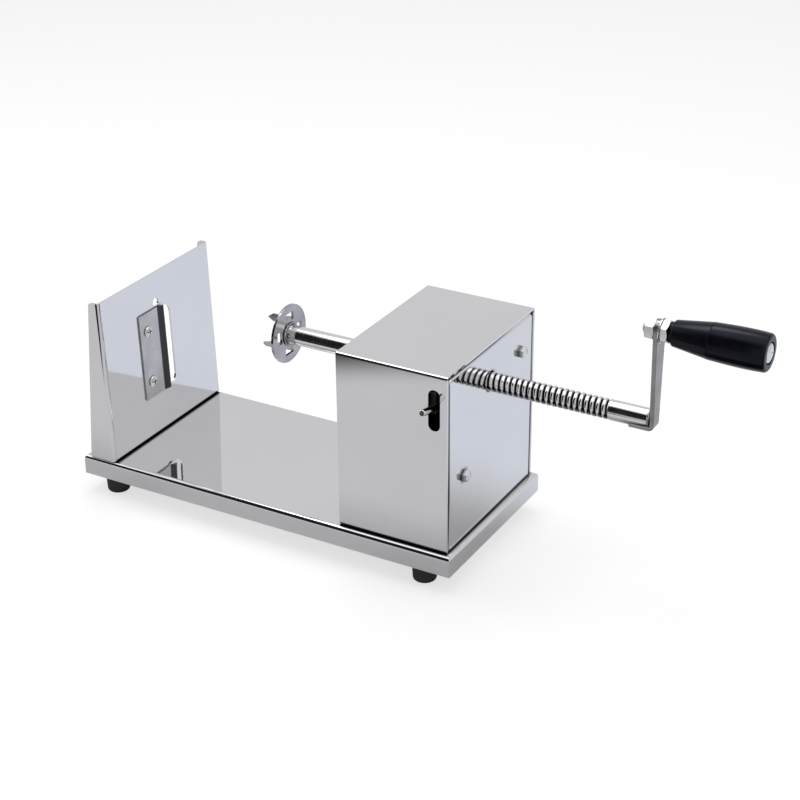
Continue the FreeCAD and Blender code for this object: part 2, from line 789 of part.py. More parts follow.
def blade_side_bush():
    """A nylon bush snapped into the panel: a flange outside, a ring and a tail inside."""
    outside = "housing_left - bush_end_play"
    inside = "panel_inner_left + bush_end_play"
    corners = [
        (f"{outside} - bush_flange", "spindle_radius + bush_play"),
        (f"{inside} + bush_flange + bush_tail", "spindle_radius + bush_play"),
        (f"{inside} + bush_flange + bush_tail", "bush_radius"),
        (f"{inside} + bush_flange", "bush_radius"),
        (f"{inside} + bush_flange", "bush_flange_radius"),
        (inside, "bush_flange_radius"),
        (inside, "bush_radius"),
        (outside, "bush_radius"),
        (outside, "bush_flange_radius"),
        (f"{outside} - bush_flange", "bush_flange_radius"),
    ]
    finish(turned("blade_side_bush", corners), "blade_side_bush", "0", "spindle_side", "axis_z")


def cross_bolt(label, y, z):
    """A hexagon bolt from the crank side through both panels."""
    head = hexagon("cross_bolt_flats", "cross_bolt_head", "housing_right", y, z, "x")
    start = "housing_left - cross_nut - cross_bolt_tail"
    shank = cylinder("cross_bolt_radius", f"housing_right - ({start})", start, y, z, "x")
    finish(fuse([head, shank]), label)


def cross_bolts():
    cross_bolt("pivot_bolt", "pivot_y", "pivot_z")
    cross_bolt("spring_bolt", "anchor_y", "anchor_z")
    nuts = []
    nut_left = "housing_left - cross_nut"
    for y, z in (("pivot_y", "pivot_z"), ("anchor_y", "anchor_z")):
        nut = hexagon("cross_bolt_flats", "cross_nut", nut_left, y, z, "x")
        bore = cylinder("cross_bolt_radius + thread_play", "cross_nut", nut_left, y, z, "x")
        nuts.append(cut(nut, bore))
    finish(group(nuts), "cross_bolt_nuts")


def sleeve(label, left, right):
    length = f"{right} - ({left})"
    tube = cylinder("sleeve_radius", length, left, "pivot_y", "pivot_z", "x")
    bore = cylinder("cross_bolt_radius + sleeve_play", length, left, "pivot_y", "pivot_z", "x")
    finish(cut(tube, bore), label)


def housing():
    housing_cover()
    end_panel("crank_side_panel", "housing_right - panel_depth", "housing_right", "housing_right",
              "spindle_radius + spindle_hole_play")
    end_panel("blade_side_panel", "housing_left", "housing_left + panel_depth", "housing_left",
              "bush_radius + bush_play")
    blade_side_bush()
    cross_bolts()
    sleeve("pivot_sleeve_long", "panel_inner_left", "lever_left - lever_end_play")
    sleeve("pivot_sleeve_short", "lever_right + lever_end_play", "panel_inner_right")


# Half nut and its release

def release_lever():
    body = new_body("release_lever")
    sketch = sketch_on(body, "YZ_Plane", "lever_left")
    shoulder_front = "spindle_side - lever_shoulder"
    shoulder_rear = "spindle_side + lever_shoulder"
    jaw_front = "spindle_side - lever_notch"
    jaw_rear = "spindle_side + lever_notch"
    heel = "pivot_y + lever_heel"
    underside = "axis_z - lever_tip_low"
    outline(sketch, [
        ("lever_tip_y", underside),
        (shoulder_front, underside),
        (shoulder_front, "axis_z - lever_jaw"),
        (jaw_front, "axis_z - lever_jaw"),
        (jaw_front, "axis_z + lever_notch"),
        (jaw_rear, "axis_z + lever_notch"),
        (jaw_rear, "axis_z - lever_jaw"),
        (shoulder_rear, "axis_z - lever_jaw"),
        (shoulder_rear, underside),
        (heel, underside),
        (heel, "pivot_z + lever_heel"),
        (shoulder_rear, "axis_z + lever_crown"),
        (shoulder_front, "axis_z + lever_crown"),
        ("lever_tip_y", "axis_z + lever_tip_high"),
    ])
    pad(body, sketch, "lever_sheet")

    def outer_corner(edge):
        high = edge.Vertexes[0].Point.z > value("axis_z + lever_notch") - 0.01
        end = lies_at(edge, 1, "lever_tip_y") or lies_at(edge, 1, heel)
        return runs_along(edge, 0) and (high or end)

    round_edges(body, outer_corner, "lever_rounding")
    holes = sketch_on(body, "YZ_Plane", "lever_left")
    circle(holes, "pivot_y", "pivot_z", "cross_bolt_radius + lever_pivot_play")
    circle(holes, "anchor_y", "ring_hole_z", "ring_hole_radius")
    for side in "-+":
        circle(holes, f"spindle_side {side} rivet_side", "axis_z + rivet_rise", "rivet_radius + rivet_play")
    pocket(body, holes, "lever_sheet", forwards=True)
    finish(body, "release_lever")


def half_nut():
    """A block over the spindle, with the spindle's own thread cut into its underside."""
    block = doc.addObject("Part::Box", "Box")
    bind(block, Length="half_nut_length", Width="2 * half_nut_half_width",
         Height="half_nut_high - half_nut_low")
    place(block, "half_nut_left", "spindle_side - half_nut_half_width", "axis_z + half_nut_low")
    mate = thread("thread_core_radius + half_nut_clearance", "lever_left - thread_left_x + thread_pitch",
                  "thread_left_x", "spindle_side", "axis_z")
    cuts = [mate]
    for side in "-+":
        y = f"spindle_side {side} rivet_side"
        cuts.append(cylinder("rivet_radius + rivet_play", "rivet_depth", "lever_left - rivet_depth", y,
                             "axis_z + rivet_rise", "x"))
    finish(cut(block, group(cuts)), "half_nut")


def half_nut_rivets():
    rivets = []
    for side in "-+":
        y = f"spindle_side {side} rivet_side"
        z = "axis_z + rivet_rise"
        shank = cylinder("rivet_radius", "rivet_depth + lever_sheet", "lever_left - rivet_depth", y, z, "x")
        head = cylinder("rivet_head_radius", "rivet_head", "lever_right", y, z, "x")
        rivets.append(fuse([shank, head]))
    finish(group(rivets), "half_nut_rivets")


def thumb_pin():
    """A round pin welded along the lever's side. Its own z axis points out of the slot."""
    body = new_body("thumb_pin")
    sketch = sketch_on(body, "XY_Plane", "-pin_hold")
    circle(sketch, "0", "0", "pin_radius")
    pad(body, sketch, "pin_hold + pin_reach")
    round_edges(body, lambda edge: lies_at(edge, 2, "pin_reach"), "pin_edge")
    body.Placement = Placement(Vector(), Rotation(Vector(1, 0, 0), 90 - value("pin_tilt")))
    body.setExpression("Placement.Rotation.Angle", formula("90 - pin_tilt"))
    finish(body, "thumb_pin", "lever_right + pin_radius", "housing_front", "pin_z")


def return_spring():
    """The closed coils as one round bar, with a ring round the bolt and one through the lever."""
    x = "(lever_left + lever_right) / 2"
    low = "anchor_z + ring_slack"
    rings = []
    for z, turn in ((low, Rotation(Vector(0, 1, 0), 90)), ("ring_z", Rotation(Vector(1, 0, 0), 90))):
        ring = doc.addObject("Part::Torus", "Torus")
        bind(ring, Radius1="ring_radius", Radius2="spring_wire / 2")
        ring.Placement = Placement(Vector(), turn)
        place(ring, x, "anchor_y", z)
        rings.append(ring)
    height = f"ring_z - ({low}) - 2 * ring_radius"
    coils = cylinder("spring_radius", height, x, "anchor_y", f"{low} + ring_radius")
    finish(fuse([coils, *rings]), "return_spring")


def release():
    release_lever()
    half_nut()
    half_nut_rivets()
    thumb_pin()
    return_spring()


# Spindle, prong disc and crank

def spindle():
    left = cylinder("spindle_radius", "thread_start", "disc_back", "spindle_side", "axis_z", "x")
    middle = thread("thread_core_radius", "thread_length", "thread_left_x", "spindle_side", "axis_z")
    right = cylinder("spindle_radius", "spindle_end - thread_right_x", "thread_right_x", "spindle_side",
                     "axis_z", "x")
    bore = cylinder("skewer_bore_radius", "skewer_bore_depth", "disc_back", "spindle_side", "axis_z", "x")
    flat = doc.addObject("Part::Box", "Box")
    bind(flat, Length="arm_foot", Width="2 * spindle_radius", Height="arm_sheet")
    place(flat, "spindle_end - arm_foot", "spindle_side - spindle_radius", "axis_z - spindle_radius")
    finish(cut(fuse([left, middle, right]), group([bore, flat])), "spindle")


def prong_disc():
    """A disc welded to the spindle's end. Four tabs are bent out of its windows as prongs."""
    body = new_body("prong_disc")
    sketch = sketch_on(body, "YZ_Plane")
    circle(sketch, "0", "0", "disc_radius")
    circle(sketch, "0", "0", "skewer_bore_radius")
    pad(body, sketch, "disc_sheet", backwards=True)
    window = sketch_on(body, "YZ_Plane")
    rectangle(window, "-prong_window / 2", "prong_window / 2", "prong_inner", "prong_inner + prong_width")
    opening = pocket(body, window, "disc_sheet")
    tab = sketch_on(body, "XZ_Plane", "prong_window / 2")
    outline(tab, [
        ("0", "prong_inner"),
        ("0", "prong_inner + prong_width"),
        ("-disc_sheet - prong_length + prong_point", "prong_inner + prong_width"),
        ("-disc_sheet - prong_length", "prong_inner + prong_width / 2"),
        ("-disc_sheet - prong_length + prong_point", "prong_inner"),
    ])
    prong = pad(body, tab, "prong_sheet", backwards=True)
    ring = body.newObject("PartDesign::PolarPattern", "PolarPattern")
    ring.Originals = [opening, prong]
    ring.Axis = (plane_of(body, "X_Axis"), [""])
    ring.Angle = 360
    ring.Occurrences = 4
    body.Tip = ring
    doc.recompute()
    finish(body, "prong_disc", "disc_back", "spindle_side", "axis_z")


def crank_arm():
    """A flat bar, bent up at a right angle from its foot in the spindle's flat, wider towards the grip."""
    body = new_body("crank_arm")
    sketch = sketch_on(body, "XZ_Plane", "arm_top_width / 2 - spindle_side")
    foot_end = "spindle_end - arm_foot"
    underside = "axis_z - spindle_radius"
    top = "crank_z + arm_top_width / 2"
    outline(sketch, [
        (foot_end, underside),
        ("arm_outer", underside),
        ("arm_outer", top),
        ("arm_inner", top),
        ("arm_inner", "axis_z - flat_drop"),
        (foot_end, "axis_z - flat_drop"),
    ])
    pad(body, sketch, "arm_top_width", backwards=True)

    def outer_bend(edge):
        return lies_at(edge, 0, "arm_outer") and lies_at(edge, 2, underside)

    def inner_bend(edge):
        return lies_at(edge, 0, "arm_inner") and lies_at(edge, 2, "axis_z - flat_drop")

    sides = sketch_on(body, "YZ_Plane", "arm_outer")
    for side in "-+":
        outline(sides, [
            (f"spindle_side {side} arm_foot_width / 2", f"{underside} - arm_sheet"),
            (f"spindle_side {side} arm_foot_width / 2", underside),
            (f"spindle_side {side} arm_top_width / 2", "crank_z"),
            (f"spindle_side {side} (arm_top_width / 2 + arm_sheet)", "crank_z"),
            (f"spindle_side {side} (arm_top_width / 2 + arm_sheet)", f"{underside} - arm_sheet"),
        ])
    pocket(body, sides, "arm_foot + 2 * arm_sheet")
    round_edges(body, outer_bend, "arm_bend + arm_sheet")
    round_edges(body, inner_bend, "arm_bend")
    round_edges(body, lambda edge: runs_along(edge, 0) and lies_at(edge, 2, top), "arm_rounding")
    hole = sketch_on(body, "YZ_Plane", "arm_outer")
    circle(hole, "spindle_side", "crank_z", "axle_radius + thread_play")
    pocket(body, hole, "arm_sheet")
    finish(body, "crank_arm")


def grip_axle():
    body = turned("grip_axle", [
        ("arm_inner - axle_nut - axle_tail", "0"),
        ("head_right", "0"),
        ("head_right", "axle_head_radius"),
        ("head_left", "axle_head_radius"),
        ("head_left", "axle_radius"),
        ("arm_inner - axle_nut - axle_tail", "axle_radius"),
    ])
    round_edges(body, lambda edge: lies_at(edge, 0, "head_right"), "axle_head_edge")
    finish(body, "grip_axle", "0", "spindle_side", "crank_z")


def axle_ring(label, shape, left, length):
    bore = cylinder("axle_radius + thread_play", length, left, "spindle_side", "crank_z", "x")
    finish(cut(shape, bore), label)


def axle_fasteners():
    nut_left = "arm_inner - axle_nut"
    nut = hexagon("axle_nut_flats", "axle_nut", nut_left, "spindle_side", "crank_z", "x")
    axle_ring("axle_nut", nut, nut_left, "axle_nut")
    washer = cylinder("axle_washer_radius", "axle_washer", "arm_outer", "spindle_side", "crank_z", "x")
    axle_ring("axle_washer", washer, "arm_outer", "axle_washer")
    collar = hexagon("axle_collar_flats", "axle_collar", "collar_left", "spindle_side", "crank_z", "x")
    axle_ring("axle_collar", collar, "collar_left", "axle_collar")


def grip():
    body = turned("grip", [
        ("grip_left", "axle_radius + grip_play"),
        ("grip_left", "grip_neck_radius"),
        ("grip_left + grip_neck", "grip_neck_radius"),
        ("grip_left + grip_neck", "grip_start_radius"),
        ("grip_left + grip_shoulder", "grip_shoulder_radius"),
        ("grip_left + grip_swell", "grip_swell_radius"),
        ("grip_right", "grip_end_radius"),
        ("grip_right", "axle_head_radius + grip_recess_play"),
        ("grip_right - grip_recess_depth", "axle_head_radius + grip_recess_play"),
        ("grip_right - grip_recess_depth", "axle_radius + grip_play"),
    ])
    end_radius = value("grip_end_radius")

    def end_rim(edge):
        start = edge.Vertexes[0].Point
        return lies_at(edge, 0, "grip_right") and math.hypot(start.y, start.z) > end_radius - 0.01

    round_edges(body, end_rim, "grip_rounding")
    finish(body, "grip", "0", "spindle_side", "crank_z")


def spindle_and_crank():
    spindle()
    prong_disc()
    crank_arm()
    grip_axle()
    axle_fasteners()
    grip()


def check_document():
    """Stops if any object failed, or if a finished piece is empty or broken."""
    for thing in doc.Objects:
        if "Invalid" in thing.State or "Error" in thing.State:
            raise RuntimeError(f"{thing.Name} failed: {thing.State}")
    for piece in finished:
        shape = piece.Shape
        if shape.isNull() or not shape.isValid() or shape.Volume <= 0:
            raise RuntimeError(f"{piece.Label} has no sound shape")


def write_parts():
    os.makedirs("parts", exist_ok=True)
    for piece in finished:
        piece.Shape.exportStep(f"parts/{piece.Label}.step")
        print(f"{piece.Label}: {len(piece.Shape.Solids)} solids, {piece.Shape.Volume:.1f} mm3")


fill_sheet()
base_and_feet()
blade_stand()
cutting_blade()
blade_fasteners()
housing()
release()
spindle_and_crank()
doc.recompute()
check_document()
write_parts()
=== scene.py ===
import json
import math

import bmesh
import bpy
from mathutils import Matrix, Vector


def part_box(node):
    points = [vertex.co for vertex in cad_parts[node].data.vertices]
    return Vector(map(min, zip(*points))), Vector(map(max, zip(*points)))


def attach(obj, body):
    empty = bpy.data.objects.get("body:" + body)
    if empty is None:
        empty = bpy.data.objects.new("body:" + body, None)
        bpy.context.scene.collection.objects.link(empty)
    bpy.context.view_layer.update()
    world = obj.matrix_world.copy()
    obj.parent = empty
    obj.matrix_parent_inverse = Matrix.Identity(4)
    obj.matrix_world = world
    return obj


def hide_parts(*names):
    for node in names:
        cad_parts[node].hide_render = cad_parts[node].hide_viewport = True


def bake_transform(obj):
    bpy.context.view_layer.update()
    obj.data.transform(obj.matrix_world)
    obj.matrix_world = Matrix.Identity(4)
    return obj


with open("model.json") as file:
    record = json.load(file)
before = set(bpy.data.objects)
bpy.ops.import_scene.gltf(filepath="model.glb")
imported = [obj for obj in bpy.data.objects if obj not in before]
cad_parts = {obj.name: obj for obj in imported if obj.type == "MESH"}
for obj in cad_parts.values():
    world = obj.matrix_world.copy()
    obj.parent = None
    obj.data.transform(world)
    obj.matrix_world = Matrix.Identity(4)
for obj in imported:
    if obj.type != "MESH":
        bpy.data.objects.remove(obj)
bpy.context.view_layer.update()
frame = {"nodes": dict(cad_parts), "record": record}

MM = 0.001

# Places that the frame gives

def middle(node):
    low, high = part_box(node)
    return (low + high) / 2


SPINDLE_AXIS = middle("prong_disc")
CRANK_AXIS = middle("grip")
BENCH_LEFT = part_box("base_tray")[0].x
TRAY_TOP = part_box("base_tray")[1].z


# Shader node helpers

def new_group(name, inputs, outputs):
    """An empty shader node group with float sockets, and its input and output nodes."""
    group = bpy.data.node_groups.new(name, "ShaderNodeTree")
    for label, start in inputs:
        socket = group.interface.new_socket(label, in_out="INPUT", socket_type="NodeSocketFloat")
        socket.default_value = start
    for label, kind in outputs:
        group.interface.new_socket(label, in_out="OUTPUT", socket_type=kind)
    return group, group.nodes.new("NodeGroupInput"), group.nodes.new("NodeGroupOutput")


def feed(tree, value, socket):
    """Links what another node gives to a socket, or sets a plain number on it."""
    if isinstance(value, bpy.types.NodeSocket):
        tree.links.new(value, socket)
    else:
        socket.default_value = value


def math_node(tree, operation, first, second):
    node = tree.nodes.new("ShaderNodeMath")
    node.operation = operation
    feed(tree, first, node.inputs[0])
    feed(tree, second, node.inputs[1])
    return node.outputs[0]


def make_smudge_group():
    """Large soft patches, as polished steel gets from handling, from 0 where clean to 1 where dull."""
    group, start, end = new_group(
        "handling_smudges",
        [("Scale", 14.0), ("Contrast", 0.6)],
        [("Mask", "NodeSocketFloat")])
    place = group.nodes.new("ShaderNodeTexCoord")
    clouds = group.nodes.new("ShaderNodeTexNoise")
    clouds.inputs["Detail"].default_value = 3.0
    clouds.inputs["Roughness"].default_value = 0.55
    group.links.new(place.outputs["Object"], clouds.inputs["Vector"])
    group.links.new(start.outputs["Scale"], clouds.inputs["Scale"])
    centred = math_node(group, "SUBTRACT", clouds.outputs["Fac"], 0.5)
    wide = math_node(group, "MULTIPLY", centred, start.outputs["Contrast"])
    stretched = math_node(group, "MULTIPLY", wide, 4.0)
    mask = math_node(group, "ADD", stretched, 0.5)
    mask.node.use_clamp = True
    group.links.new(mask, end.inputs["Mask"])
    return group


def make_grain_group():
    """Hairlines from rolling or grinding: noise drawn out along one axis of the piece."""
    group, start, end = new_group(
        "hairline_grain",
        [("Along X", 20.0), ("Along Y", 20.0), ("Along Z", 20.0)],
        [("Height", "NodeSocketFloat")])
    place = group.nodes.new("ShaderNodeTexCoord")
    scale = group.nodes.new("ShaderNodeCombineXYZ")
    for label, axis in (("Along X", "X"), ("Along Y", "Y"), ("Along Z", "Z")):
        group.links.new(start.outputs[label], scale.inputs[axis])
    drawn = group.nodes.new("ShaderNodeVectorMath")
    drawn.operation = "MULTIPLY"
    group.links.new(place.outputs["Object"], drawn.inputs[0])
    group.links.new(scale.outputs[0], drawn.inputs[1])
    lines = group.nodes.new("ShaderNodeTexNoise")
    lines.inputs["Scale"].default_value = 1.0
    lines.inputs["Detail"].default_value = 2.0
    group.links.new(drawn.outputs[0], lines.inputs["Vector"])
    group.links.new(lines.outputs["Fac"], end.inputs["Height"])
    return group


def make_seam_shade_group():
    """Painted shade in seams and inner corners, drawn from ambient occlusion: 1 in one, 0 in the open."""
    group, start, end = new_group(
        "seam_dirt",
        [("Reach", 0.003), ("Amount", 0.8)],
        [("Mask", "NodeSocketFloat")])
    open_sky = group.nodes.new("ShaderNodeAmbientOcclusion")
    open_sky.samples = 12
    group.links.new(start.outputs["Reach"], open_sky.inputs["Distance"])
    hidden = group.nodes.new("ShaderNodeMapRange")
    hidden.inputs["From Min"].default_value = 0.92
    hidden.inputs["From Max"].default_value = 0.50
    group.links.new(open_sky.outputs["AO"], hidden.inputs["Value"])
    mask = math_node(group, "MULTIPLY", hidden.outputs[0], start.outputs["Amount"])
    group.links.new(mask, end.inputs["Mask"])
    return group


SMUDGES = make_smudge_group()
GRAIN = make_grain_group()
SEAM_SHADE = make_seam_shade_group()


def add_group(tree, group, **values):
    node = tree.nodes.new("ShaderNodeGroup")
    node.node_tree = group
    for label, value in values.items():
        node.inputs[label.replace("_", " ")].default_value = value
    return node


def colour_between(tree, mask, first, second):
    mix = tree.nodes.new("ShaderNodeMix")
    mix.data_type = "RGBA"
    mix.inputs[6].default_value = (*first, 1.0)
    mix.inputs[7].default_value = (*second, 1.0)
    tree.links.new(mask, mix.inputs[0])
    return mix.outputs[2]


def value_between(tree, mask, first, second):
    """The first value where the mask is 0 and the second where it is 1."""
    mix = tree.nodes.new("ShaderNodeMix")
    feed(tree, mask, mix.inputs[0])
    feed(tree, first, mix.inputs[2])
    feed(tree, second, mix.inputs[3])
    return mix.outputs[0]


def darkened(tree, shader, mask, colour):
    """Lays a colour over the shader's own where the mask is 1."""
    under = shader.inputs["Base Color"].links[0].from_socket
    mix = tree.nodes.new("ShaderNodeMix")
    mix.data_type = "RGBA"
    mix.inputs[7].default_value = (*colour, 1.0)
    tree.links.new(under, mix.inputs[6])
    tree.links.new(mask, mix.inputs[0])
    tree.links.new(mix.outputs[2], shader.inputs["Base Color"])


def step_between(tree, value, start, end):
    """0 below start, 1 above end, and an even rise between them."""
    ramp = tree.nodes.new("ShaderNodeMapRange")
    ramp.interpolation_type = "SMOOTHSTEP"
    ramp.inputs["From Min"].default_value = start
    ramp.inputs["From Max"].default_value = end
    tree.links.new(value, ramp.inputs["Value"])
    return ramp.outputs[0]


def band_between(tree, value, start, full, fading, end):
    """0 outside a band and 1 inside it, with a soft edge on each side."""
    rise = step_between(tree, value, start, full)
    fall = math_node(tree, "SUBTRACT", 1.0, step_between(tree, value, fading, end))
    return math_node(tree, "MULTIPLY", rise, fall)


def along(tree, vector, direction):
    """How far a vector reaches in a direction."""
    product = tree.nodes.new("ShaderNodeVectorMath")
    product.operation = "DOT_PRODUCT"
    product.inputs[1].default_value = direction
    tree.links.new(vector, product.inputs[0])
    return product.outputs["Value"]


def new_material(name, metallic=0.0):
    material = bpy.data.materials.new(name)
    material.use_nodes = True
    shader = material.node_tree.nodes["Principled BSDF"]
    shader.inputs["Metallic"].default_value = metallic
    return material, material.node_tree, shader


def bump_from(tree, shader, height, strength, distance):
    bump = tree.nodes.new("ShaderNodeBump")
    bump.inputs["Strength"].default_value = strength
    bump.inputs["Distance"].default_value = distance
    tree.links.new(height, bump.inputs["Height"])
    tree.links.new(bump.outputs[0], shader.inputs["Normal"])


def metal(name, clean, dull, smooth, rough, smudge_scale=14.0, grain=(20.0, 20.0, 20.0), relief=0.1):
    """A steel or brass finish: its colour and gloss vary with handling, its relief with the grain."""
    material, tree, shader = new_material(name, metallic=1.0)
    smudges = add_group(tree, SMUDGES, Scale=smudge_scale)
    lines = add_group(tree, GRAIN, Along_X=grain[0], Along_Y=grain[1], Along_Z=grain[2])
    tree.links.new(colour_between(tree, smudges.outputs[0], clean, dull), shader.inputs["Base Color"])
    patchy = value_between(tree, smudges.outputs[0], smooth, rough)
    streaks = math_node(tree, "SUBTRACT", lines.outputs[0], 0.5)
    spread = math_node(tree, "MULTIPLY", streaks, (rough - smooth) * 1.5)
    total = math_node(tree, "ADD", patchy, spread)
    total.node.use_clamp = True
    tree.links.new(total, shader.inputs["Roughness"])
    bump_from(tree, shader, lines.outputs[0], relief, 0.0001)
    return material


def with_seam_shade(material, reach, amount, unshaded_behind=False):
    """Paints shade into a metal's seams, or only into those at the front. The reach is in mm."""
    tree = material.node_tree
    mask = add_group(tree, SEAM_SHADE, Reach=reach * MM, Amount=amount).outputs[0]
    if unshaded_behind:
        place = tree.nodes.new("ShaderNodeTexCoord").outputs["Object"]
        front = step_between(tree, along(tree, place, (0.0, -1.0, 0.0)), -0.045, 0.0)
        mask = math_node(tree, "MULTIPLY", mask, front)
    # painted shade: near black where the seams are deepest
    darkened(tree, tree.nodes["Principled BSDF"], mask, (0.03, 0.03, 0.032))
    return material


def polished_sheet(name, unshaded_behind=False):
    material = metal(name, (0.81, 0.81, 0.83), (0.77, 0.77, 0.79), 0.03, 0.07,
                     smudge_scale=9.0, grain=(260.0, 40.0, 260.0), relief=0.02)
    return with_seam_shade(material, 3.5, 0.9, unshaded_behind)


def bright_steel(name):
    return metal(name, (0.86, 0.86, 0.87), (0.78, 0.78, 0.79), 0.06, 0.14,
                 smudge_scale=60.0, grain=(900.0, 120.0, 120.0), relief=0.04)


def pressed_disc_steel():
    material = metal("pressed_disc_steel", (0.50, 0.49, 0.52), (0.38, 0.37, 0.40), 0.08, 0.18,
                     smudge_scale=70.0, grain=(300.0, 700.0, 700.0), relief=0.05)
    return with_seam_shade(material, 4.0, 0.85)


def greased_thread_steel():
    """Bright steel with painted shade in its thread grooves. The groove is told by its depth from the axis.
    """
    material = bright_steel("greased_thread_steel")
    tree = material.node_tree
    shader = tree.nodes["Principled BSDF"]
    place = tree.nodes.new("ShaderNodeTexCoord")
    across = tree.nodes.new("ShaderNodeVectorMath")
    across.operation = "MULTIPLY_ADD"
    across.inputs[1].default_value = (0.0, 1.0, 1.0)
    across.inputs[2].default_value = (0.0, -SPINDLE_AXIS.y, -SPINDLE_AXIS.z)
    radius = tree.nodes.new("ShaderNodeVectorMath")
    radius.operation = "LENGTH"
    tree.links.new(place.outputs["Object"], across.inputs[0])
    tree.links.new(across.outputs[0], radius.inputs[0])
    groove_edge = 6.70
    groove_floor = 5.95
    groove = tree.nodes.new("ShaderNodeMapRange")
    groove.inputs["From Min"].default_value = groove_edge * MM
    groove.inputs["From Max"].default_value = groove_floor * MM
    tree.links.new(radius.outputs["Value"], groove.inputs["Value"])
    # painted shade, near black at the groove floor
    darkened(tree, shader, groove.outputs[0], (0.012, 0.011, 0.010))
    return material


def zinc_plate():
    material = metal("zinc_plate", (0.84, 0.85, 0.87), (0.74, 0.75, 0.76), 0.12, 0.24,
                     smudge_scale=120.0, grain=(700.0, 700.0, 700.0), relief=0.06)
    return with_seam_shade(material, 1.6, 0.9)


def plated_bolt():
    material = metal("plated_bolt", (0.80, 0.80, 0.81), (0.62, 0.62, 0.63), 0.08, 0.18,
                     smudge_scale=120.0, grain=(700.0, 700.0, 700.0), relief=0.06)
    return with_seam_shade(material, 6.0, 1.0)


def bright_screw():
    material = metal("bright_screw", (0.84, 0.82, 0.80), (0.66, 0.64, 0.62), 0.10, 0.20,
                     smudge_scale=150.0, grain=(900.0, 900.0, 900.0), relief=0.05)
    return with_seam_shade(material, 1.6, 1.0)


def weld_metal():
    material = metal("weld_metal", (0.42, 0.41, 0.42), (0.20, 0.19, 0.20), 0.16, 0.40,
                     smudge_scale=260.0, grain=(1500.0, 1500.0, 1500.0), relief=0.25)
    return with_seam_shade(material, 2.0, 0.9)


def satin_crank_steel():
    return metal("satin_crank_steel", (0.37, 0.355, 0.34), (0.30, 0.29, 0.28), 0.20, 0.34,
                 smudge_scale=70.0, grain=(900.0, 900.0, 60.0), relief=0.10)


def ground_blade_steel():
    """Satin steel, with a painted dark reflection on the wing past the bend."""
    material = metal("ground_blade_steel", (0.58, 0.58, 0.59), (0.48, 0.48, 0.49), 0.22, 0.36,
                     smudge_scale=60.0, grain=(900.0, 900.0, 50.0), relief=0.12)
    tree = material.node_tree
    place = tree.nodes.new("ShaderNodeTexCoord").outputs["Object"]
    bend = SPINDLE_AXIS.y - 1.0 * MM
    wing = step_between(tree, along(tree, place, (0.0, 1.0, 0.0)), bend - 0.3 * MM, bend + 0.3 * MM)
    # painted dark reflection on the wing past the bend
    darkened(tree, tree.nodes["Principled BSDF"], wing, (0.05, 0.05, 0.052))
    return material


def plain_steel():
    return metal("plain_steel", (0.55, 0.55, 0.56), (0.42, 0.42, 0.43), 0.30, 0.48,
                 smudge_scale=60.0, grain=(500.0, 500.0, 500.0), relief=0.12)


def machined_brass():
    return metal("machined_brass", (0.80, 0.62, 0.32), (0.66, 0.48, 0.22), 0.20, 0.36,
                 smudge_scale=90.0, grain=(300.0, 1200.0, 1200.0), relief=0.10)


def plastic(name, light, dark, smooth, rough, grain_size, relief):
    """A moulded or rubber finish with a fine skin."""
    material, tree, shader = new_material(name)
    smudges = add_group(tree, SMUDGES, Scale=90.0)
    skin = add_group(tree, GRAIN, Along_X=grain_size, Along_Y=grain_size, Along_Z=grain_size)
    tree.links.new(colour_between(tree, smudges.outputs[0], light, dark), shader.inputs["Base Color"])
    tree.links.new(value_between(tree, smudges.outputs[0], smooth, rough), shader.inputs["Roughness"])
    bump_from(tree, shader, skin.outputs[0], relief, 0.0002)
    return material


def black_grip_plastic():
    material = plastic("black_grip_plastic", (0.0030, 0.0030, 0.0055), (0.0050, 0.0050, 0.0085),
                       0.16, 0.26, 900.0, 0.05)
    shader = material.node_tree.nodes["Principled BSDF"]
    shader.inputs["Specular IOR Level"].default_value = 0.20
    shader.inputs["Specular Tint"].default_value = (0.72, 0.78, 1.0, 1.0)
    return material


def foot_rubber():
    return plastic("foot_rubber", (0.018, 0.018, 0.018), (0.034, 0.033, 0.032), 0.55, 0.72, 1400.0, 0.25)


def bush_nylon():
    return plastic("bush_nylon", (0.84, 0.83, 0.79), (0.78, 0.77, 0.73), 0.38, 0.50, 700.0, 0.08)


FINISHES = {
    "sheet": polished_sheet("polished_sheet"),
    "housing": polished_sheet("polished_housing_sheet", unshaded_behind=True),
    "spindle": greased_thread_steel(),
    "pin": bright_steel("bright_pin_steel"),
    "disc": pressed_disc_steel(),
    "zinc": zinc_plate(),
    "bolt": plated_bolt(),
    "screw": bright_screw(),
    "weld": weld_metal(),
    "crank": satin_crank_steel(),
    "blade": ground_blade_steel(),
    "steel": plain_steel(),
    "brass": machined_brass(),
    "grip": black_grip_plastic(),
    "rubber": foot_rubber(),
    "nylon": bush_nylon(),
}


# Mesh helpers

def add_piece(name, mesh, finish, body, nodes=()):
    """Puts a finished mesh in the scene. It rides on its body, if any, and stands for its nodes."""
    mesh.materials.clear()
    mesh.materials.append(FINISHES[finish])
    piece = bpy.data.objects.new(name, mesh)
    bpy.context.scene.collection.objects.link(piece)
    if body:
        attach(piece, body)
    if nodes:
        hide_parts(*nodes)
    return piece


def smooth_below(mesh, degrees):
    """Shades the mesh smooth, and keeps an edge sharp where its faces meet at a larger angle."""
    for face in mesh.polygons:
        face.use_smooth = True
    mesh.set_sharp_from_angle(angle=math.radians(degrees))


def with_modifiers(name, mesh, *settings):
    """The mesh as its modifiers leave it. Each setting is a modifier's type and its properties."""
    holder = bpy.data.objects.new(name, mesh)
    bpy.context.scene.collection.objects.link(holder)
    for kind, properties in settings:
        modifier = holder.modifiers.new(kind.title(), kind)
        for label, value in properties.items():
            setattr(modifier, label, value)
    seen = holder.evaluated_get(bpy.context.evaluated_depsgraph_get())
    result = bpy.data.meshes.new_from_object(seen)
    bpy.data.objects.remove(holder)
    result.name = name
    return result


